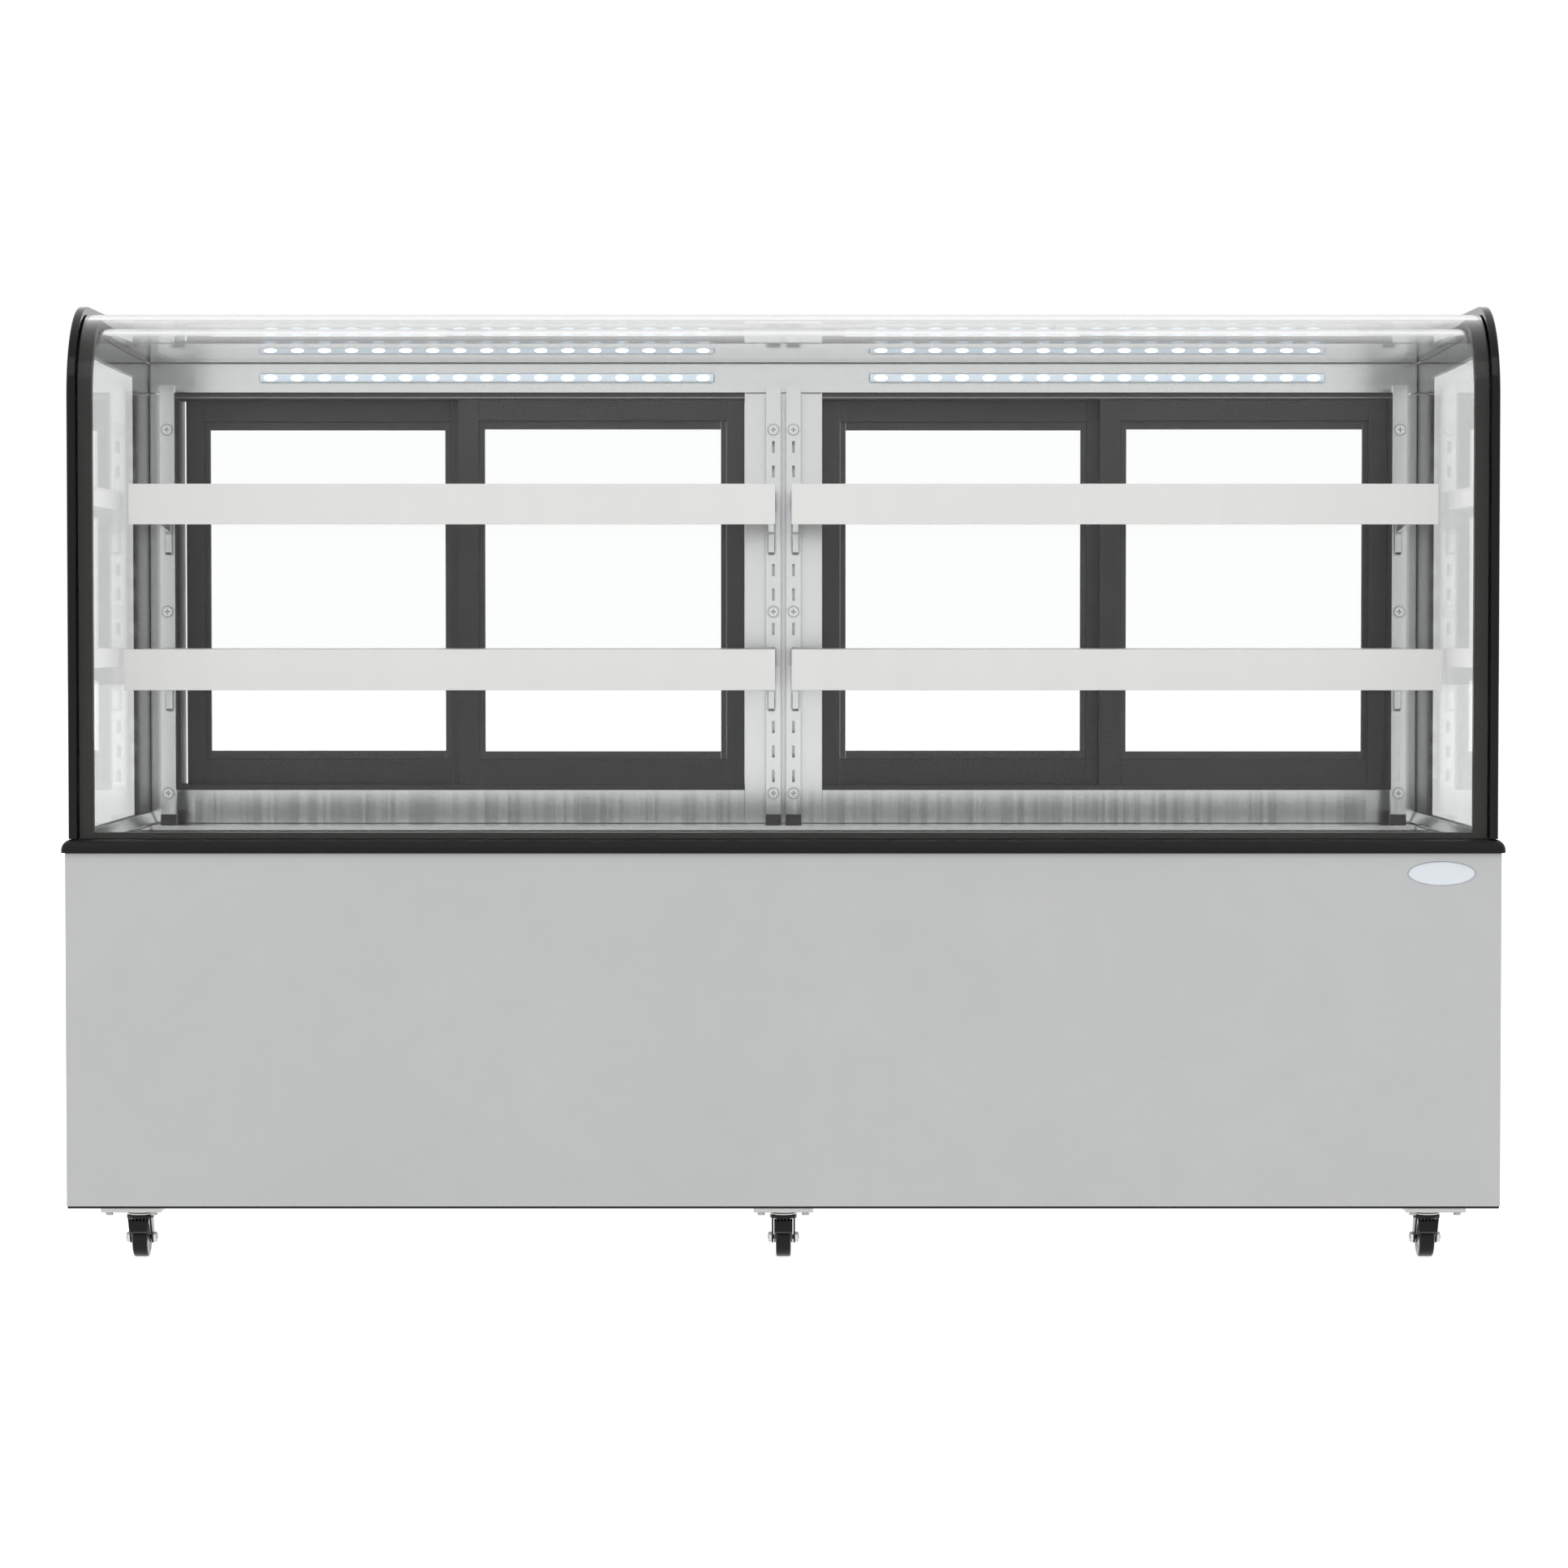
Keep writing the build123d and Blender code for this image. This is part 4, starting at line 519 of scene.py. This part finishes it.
def oval_dome(middle, half, rise, rings=14, steps=96):
    """Rings of an ellipse, each at radius r; height = rise times (1 - r to the sixth). The rim is then
    carried a little way back, and the back is closed."""
    radius = np.linspace(0, 1, rings)[:, None]
    angle = np.linspace(0, 2 * np.pi, steps, endpoint=False)[None, :]
    x = middle[0] + half[0] * radius * np.cos(angle)
    z = middle[2] + half[1] * radius * np.sin(angle)
    y = middle[1] - rise * (1 - radius ** 6) + 0 * angle
    points = np.stack([x, y, z], -1)
    rim = points[-1:].copy()
    rim[..., 1] = middle[1] + RIM_SUNK
    back = rim * 0 + np.array([middle[0], middle[1] + RIM_SUNK, middle[2]])
    return np.concatenate([points, rim, back]), grid_faces(rings + 2, steps)


lamp_parts = []
middle_z = (bar_low.z + bar_high.z) / 2
for start, stop in bars:
    for x in (start + stop) / 2 + LAMP_PITCH * (np.arange(LAMP_COUNT) - LAMP_COUNT // 2):
        place = (x, bar_low.y - LAMP_GAP, middle_z)
        lamp_parts.append(oval_dome(place, LAMP_HALF, LAMP_PROUD, rings=8, steps=32))
lamps = make_piece("light_bar_lamps", lamp_parts, lamp_glow, "cabinet")
print("lamps:", len(lamp_parts))

# %% [markdown]
# The plate on the front panel is an oval, slightly domed and plain. It is the
# lamps' dome again, wider and lower, in a pale enamel with a cool cast.

# %% Oval plate on the front panel
panel_low, panel_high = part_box("front_panel")
PLATE_HALF, PLATE_RISE = (43 * MM, 15.5 * MM), 1.2 * MM
FROM_RIGHT, FROM_TOP = 75 * MM, 25.5 * MM
plate_middle = (panel_high.x - FROM_RIGHT, panel_low.y, panel_high.z - FROM_TOP)

plate_white = painted("plate_white", (0.60, 0.635, 0.67), 0.2, edge=0.002, wear=(0.42, 0.46, 0.50))
plate = make_piece("oval_plate", [oval_dome(plate_middle, PLATE_HALF, PLATE_RISE)], plate_white,
                   "cabinet")
print("oval plate at", [round(v, 4) for v in plate_middle])

# %% [markdown]
# A caster wheel is a hard black tyre moulded on a pale nylon hub. Tyre and hub
# are turned from profiles about the axle: the tyre's shoulders are rounded, and
# the hub has a rim, a dished web and a boss. They replace the plain CAD wheel.


# %% Wheel profiles
CASTERS = [f"{end}_{side}" for end in ("front", "rear") for side in ("left", "middle", "right")]
TYRE_DEPTH, SHOULDER = 6.5 * MM, 2.6 * MM
BOSS, BORE = 6.5 * MM, 3.3 * MM


def tyre_profile(half, outer, seat, shoulder):
    """Outline of the tyre: seat, side, a quarter-circle shoulder, crown, and the same again back."""
    turn = np.linspace(0, np.pi / 2, 7)
    right = np.stack([half - shoulder + shoulder * np.cos(turn),
                      outer - shoulder + shoulder * np.sin(turn)], -1)
    crown = np.array([[0.0, outer]])
    left = right[::-1] * (-1, 1)
    side = np.array([[half, seat]])
    return np.concatenate([side, right, crown, left, side * (-1, 1), side])


def hub_profile(half, rim, boss, bore):
    """Outline of the hub: bore, proud boss, dished web and rim, mirrored to the other side. inside is
    how far each point lies inside the wheel's face."""
    inside = np.array([-0.2, -0.2, 2.2, 3.0, 0.6, 0.4]) * MM
    radius = np.array([bore, boss, boss + 1.2 * MM, rim - 4.0 * MM, rim - 2.2 * MM, rim])
    face = np.stack([half - inside, radius], -1)
    return np.concatenate([face, face[::-1] * (-1, 1), face[:1]])


# %% Caster wheels
hub_nylon = painted("hub_nylon", (0.60, 0.605, 0.61), 0.34, skin=700.0)
for caster in CASTERS:
    name = f"{caster}_caster_wheel"
    low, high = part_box(name)
    centre, half, outer = (low + high) / 2, (high.x - low.x) / 2, (high.z - low.z) / 2
    seat = outer - TYRE_DEPTH
    tyre_turned = turned(tyre_profile(half, outer, seat, SHOULDER), centre, "X", 72)
    tyre = make_piece(f"{caster}_tyre", [tyre_turned], finishes["wheel_tyre"], f"{caster}_wheel")
    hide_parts(name)
    hub_turned = turned(hub_profile(half, seat, BOSS, BORE), centre, "X", 48)
    hub = make_piece(f"{caster}_hub", [hub_turned], hub_nylon, f"{caster}_wheel")
print(len(CASTERS), "wheels turned, the last", round(2 * outer, 4), "across")

# %% [markdown]
# A caster's bearing race and its axle bolt are bright zinc, though the fork is
# coated black. The race is a turned ring with a groove between its two pressed
# cups. The bolt's head and its locknut are turned too, with six flats: the
# radius of a hexagon is its across-flats half over the cosine of the angle
# from the nearest flat.

# %% Race and bolt shapes
RACE_FLOOR, PIVOT_IN = 56.05 * MM, 17 * MM
RACE_PROFILE = np.array([[0.0, 5.0], [0.0, 15.0], [0.6, 16.6], [1.8, 16.9], [2.3, 15.6], [2.7, 15.6],
                         [3.2, 16.9], [4.4, 16.6], [4.9, 15.0], [4.9, 5.0], [0.0, 5.0]]) * MM
HEAD_IN, HEAD_THICK, HEAD_HALF, STUD = 4.95 * MM, 4.2 * MM, 5.7 * MM, 0.9 * MM
THREAD, THREAD_TIP = 3.3 * MM, 2.7 * MM


def hexagon(start, thick, half, centre, stud, steps=48):
    """A six-sided head along X with chamfered corners, and the bolt's round end standing out of it.
    Each ring is (distance, share of the hexagon's radius, round radius); the larger radius counts."""
    angle = np.linspace(0, 2 * np.pi, steps, endpoint=False)[None, :]
    flat = half / np.cos((angle + np.pi / 6) % (np.pi / 3) - np.pi / 6)
    rings = np.array([(0, 0, 0), (0, 1, 0), (0.75 * thick, 1, 0), (thick, 0.9, 0),
                      (thick, 0, THREAD), (thick + 0.7 * stud, 0, THREAD),
                      (thick + stud, 0, THREAD_TIP), (thick + stud, 0, 0)])
    radius = np.maximum(rings[:, 1:2] * flat, rings[:, 2:3] + 0 * flat)
    along = start + rings[:, 0:1] * np.sign(start - centre[0]) + 0 * angle
    points = np.stack([along, radius * np.cos(angle), radius * np.sin(angle)], -1)
    return points + np.array([0, centre[1], centre[2]]), grid_faces(len(rings), steps)


# %% Races, bolt heads and locknuts
race_zinc = painted("race_zinc", (0.62, 0.62, 0.61), 0.16, edge=0.0004, Metallic=1.0)
for caster in CASTERS:
    body = f"{caster}_caster"
    fork_low, fork_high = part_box(f"{body}_fork")
    wheel_low, wheel_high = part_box(f"{body}_wheel")
    axle, pivot_x = (wheel_low + wheel_high) / 2, (fork_low.x + fork_high.x) / 2
    pivot_y = fork_high.y - PIVOT_IN if caster.startswith("rear") else fork_low.y + PIVOT_IN
    ring = turned(RACE_PROFILE + (RACE_FLOOR, 0), (pivot_x, pivot_y, 0), "Z", 72)
    race = make_piece(f"{caster}_race", [ring], race_zinc, body)
    heads = []
    for side in (-1, 1):
        start = pivot_x + side * (fork_high.x - pivot_x - HEAD_IN)
        heads.append(hexagon(start, HEAD_THICK, HEAD_HALF, axle, STUD))
    bolt = make_piece(f"{caster}_axle_bolt", heads, race_zinc, body)
print("races and axle bolts; the last race stands at", round(pivot_x, 4), round(pivot_y, 4))

# %% [markdown]
# Under the front panel's lower fold runs a thin black strip, and a second thin
# black line runs along the seam between the deck and its ledge. Both are painted
# shadow: dark pieces set where there is only a shadow gap. Both are long pillows:
# blocks with softly rounded edges.
# Both are long pillows: blocks with softly rounded edges.

# %% Painted shadow lines
STRIP_INSET, STRIP_ROUND = 1 * MM, 0.3 * MM
STRIP_Y, STRIP_DROP = (0.5 * MM, 9 * MM), (2.6 * MM, 0.05 * MM)
LEDGE_AHEAD = 5.0 * MM
LEDGE_LINE_X, LEDGE_LINE_Y, LEDGE_LINE_Z, LEDGE_LINE_ROUND = 0.860, (1.2 * MM, 0.1 * MM), (0.5224, 0.5236), 0.4 * MM
ledge_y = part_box("shelf_standards")[0].y - LEDGE_AHEAD
# Painted shadow: the strip under the panel's fold and the line at the deck's ledge are black pieces
# standing in for shadow gaps.
panel_shadow_line = pillow((panel_low.x + STRIP_INSET, panel_low.y + STRIP_Y[0], panel_low.z - STRIP_DROP[0]),
               (panel_high.x - STRIP_INSET, panel_low.y + STRIP_Y[1], panel_low.z - STRIP_DROP[1]),
               STRIP_ROUND)
ledge_shadow_line = pillow((-LEDGE_LINE_X, ledge_y - LEDGE_LINE_Y[0], LEDGE_LINE_Z[0]), (LEDGE_LINE_X, ledge_y + LEDGE_LINE_Y[1], LEDGE_LINE_Z[1]),
              LEDGE_LINE_ROUND)
shadow_gap_lines = make_piece("painted_shadow_lines", [panel_shadow_line, ledge_shadow_line], finishes["black_trim"], "cabinet")
print("sealing strips", round(panel_shadow_line[0][:, :, 2].min(), 4), "to", round(ledge_shadow_line[0][:, :, 2].max(), 4))

# %% [markdown]
# The studio is a white cove: an even white sky, a pale floor, a broad softbox
# above and in front, and a lower fill at each side. The floor gives off nearly
# the light of the sky, so the case stands in white with only a breath of shade.

# %% Sky and floor
scene = bpy.context.scene
sky = bpy.data.worlds.new("White cove")
scene.world = sky
sky.use_nodes = True
sky.node_tree.nodes["Background"].inputs["Color"].default_value = (1, 1, 1, 1)
sky.node_tree.nodes["Background"].inputs["Strength"].default_value = 1.0

FLOOR_REACH, FLOOR_GAP = 60.0, 0.0002
floor_finish = new_finish("pale_floor", (0.30, 0.30, 0.30), 0.9, Specular_IOR_Level=0.0,
                          Emission_Color=(1, 1, 1, 1), Emission_Strength=0.90)[0]
floor_mesh = bpy.data.meshes.new("floor")
left, near, level = -FLOOR_REACH, -FLOOR_REACH, cad_low.z - FLOOR_GAP
corners = [(left, near, level), (-left, near, level), (-left, -near, level), (left, -near, level)]
floor_mesh.from_pydata(corners, [], [(0, 1, 2, 3)])
floor_mesh.materials.append(floor_finish)
floor = bpy.data.objects.new("floor", floor_mesh)
scene.collection.objects.link(floor)
print("floor at", round(level, 4))


# %% Softboxes
def softbox(name, place, aim, size, power):
    """A rectangular white lamp at a place, turned to face a point."""
    lamp = bpy.data.lights.new(name, "AREA")
    lamp.shape, lamp.size, lamp.size_y = "RECTANGLE", size[0], size[1]
    lamp.energy = power
    box = bpy.data.objects.new(name, lamp)
    scene.collection.objects.link(box)
    direction = np.array(aim, float) - np.array(place, float)
    tip = math.atan2(math.hypot(direction[0], direction[1]), -direction[2])
    swing = math.atan2(direction[1], direction[0]) - math.pi / 2
    box.location, box.rotation_euler = place, (tip, 0, swing)
    box.visible_camera = False


middle = (cad_low + cad_high) / 2
softbox("Over the front", (0, -3.2, 3.6), middle, size=(4.0, 1.6), power=22)
softbox("Left fill", (-3.8, -2.4, 1.6), middle, size=(1.6, 2.2), power=7)
softbox("Right fill", (3.8, -2.4, 1.6), middle, size=(1.6, 2.2), power=7)
print("softboxes placed around", [round(v, 3) for v in middle])

# %% [markdown]
# The camera stands well back with a long lens, above the middle of the case and
# tilted two degrees down, so upright lines stay nearly upright. Standard colour
# keeps white as white, as a catalogue picture needs.

# %% Camera
SENSOR, LENS = 36.0, 104.03
CAMERA_X, CAMERA_BACK, CAMERA_Z = 0.0008, 5.67, 0.796
TILT_DEGREES = 1.949
SEEN_TO = 200.0
camera_data = bpy.data.cameras.new("Camera")
camera_data.sensor_width, camera_data.lens, camera_data.clip_end = SENSOR, LENS, SEEN_TO
camera = bpy.data.objects.new("Camera", camera_data)
scene.collection.objects.link(camera)
camera.location = (CAMERA_X, panel_low.y - CAMERA_BACK, CAMERA_Z)
camera.rotation_euler = (math.radians(90 - TILT_DEGREES), 0, 0)
scene.camera = camera
scene.view_settings.view_transform = "Standard"
print("camera", [round(v, 3) for v in camera.location])

# %% [markdown]
# The view layer is brought up to date, and the scene is done.

# %% Finish
bpy.context.view_layer.update()
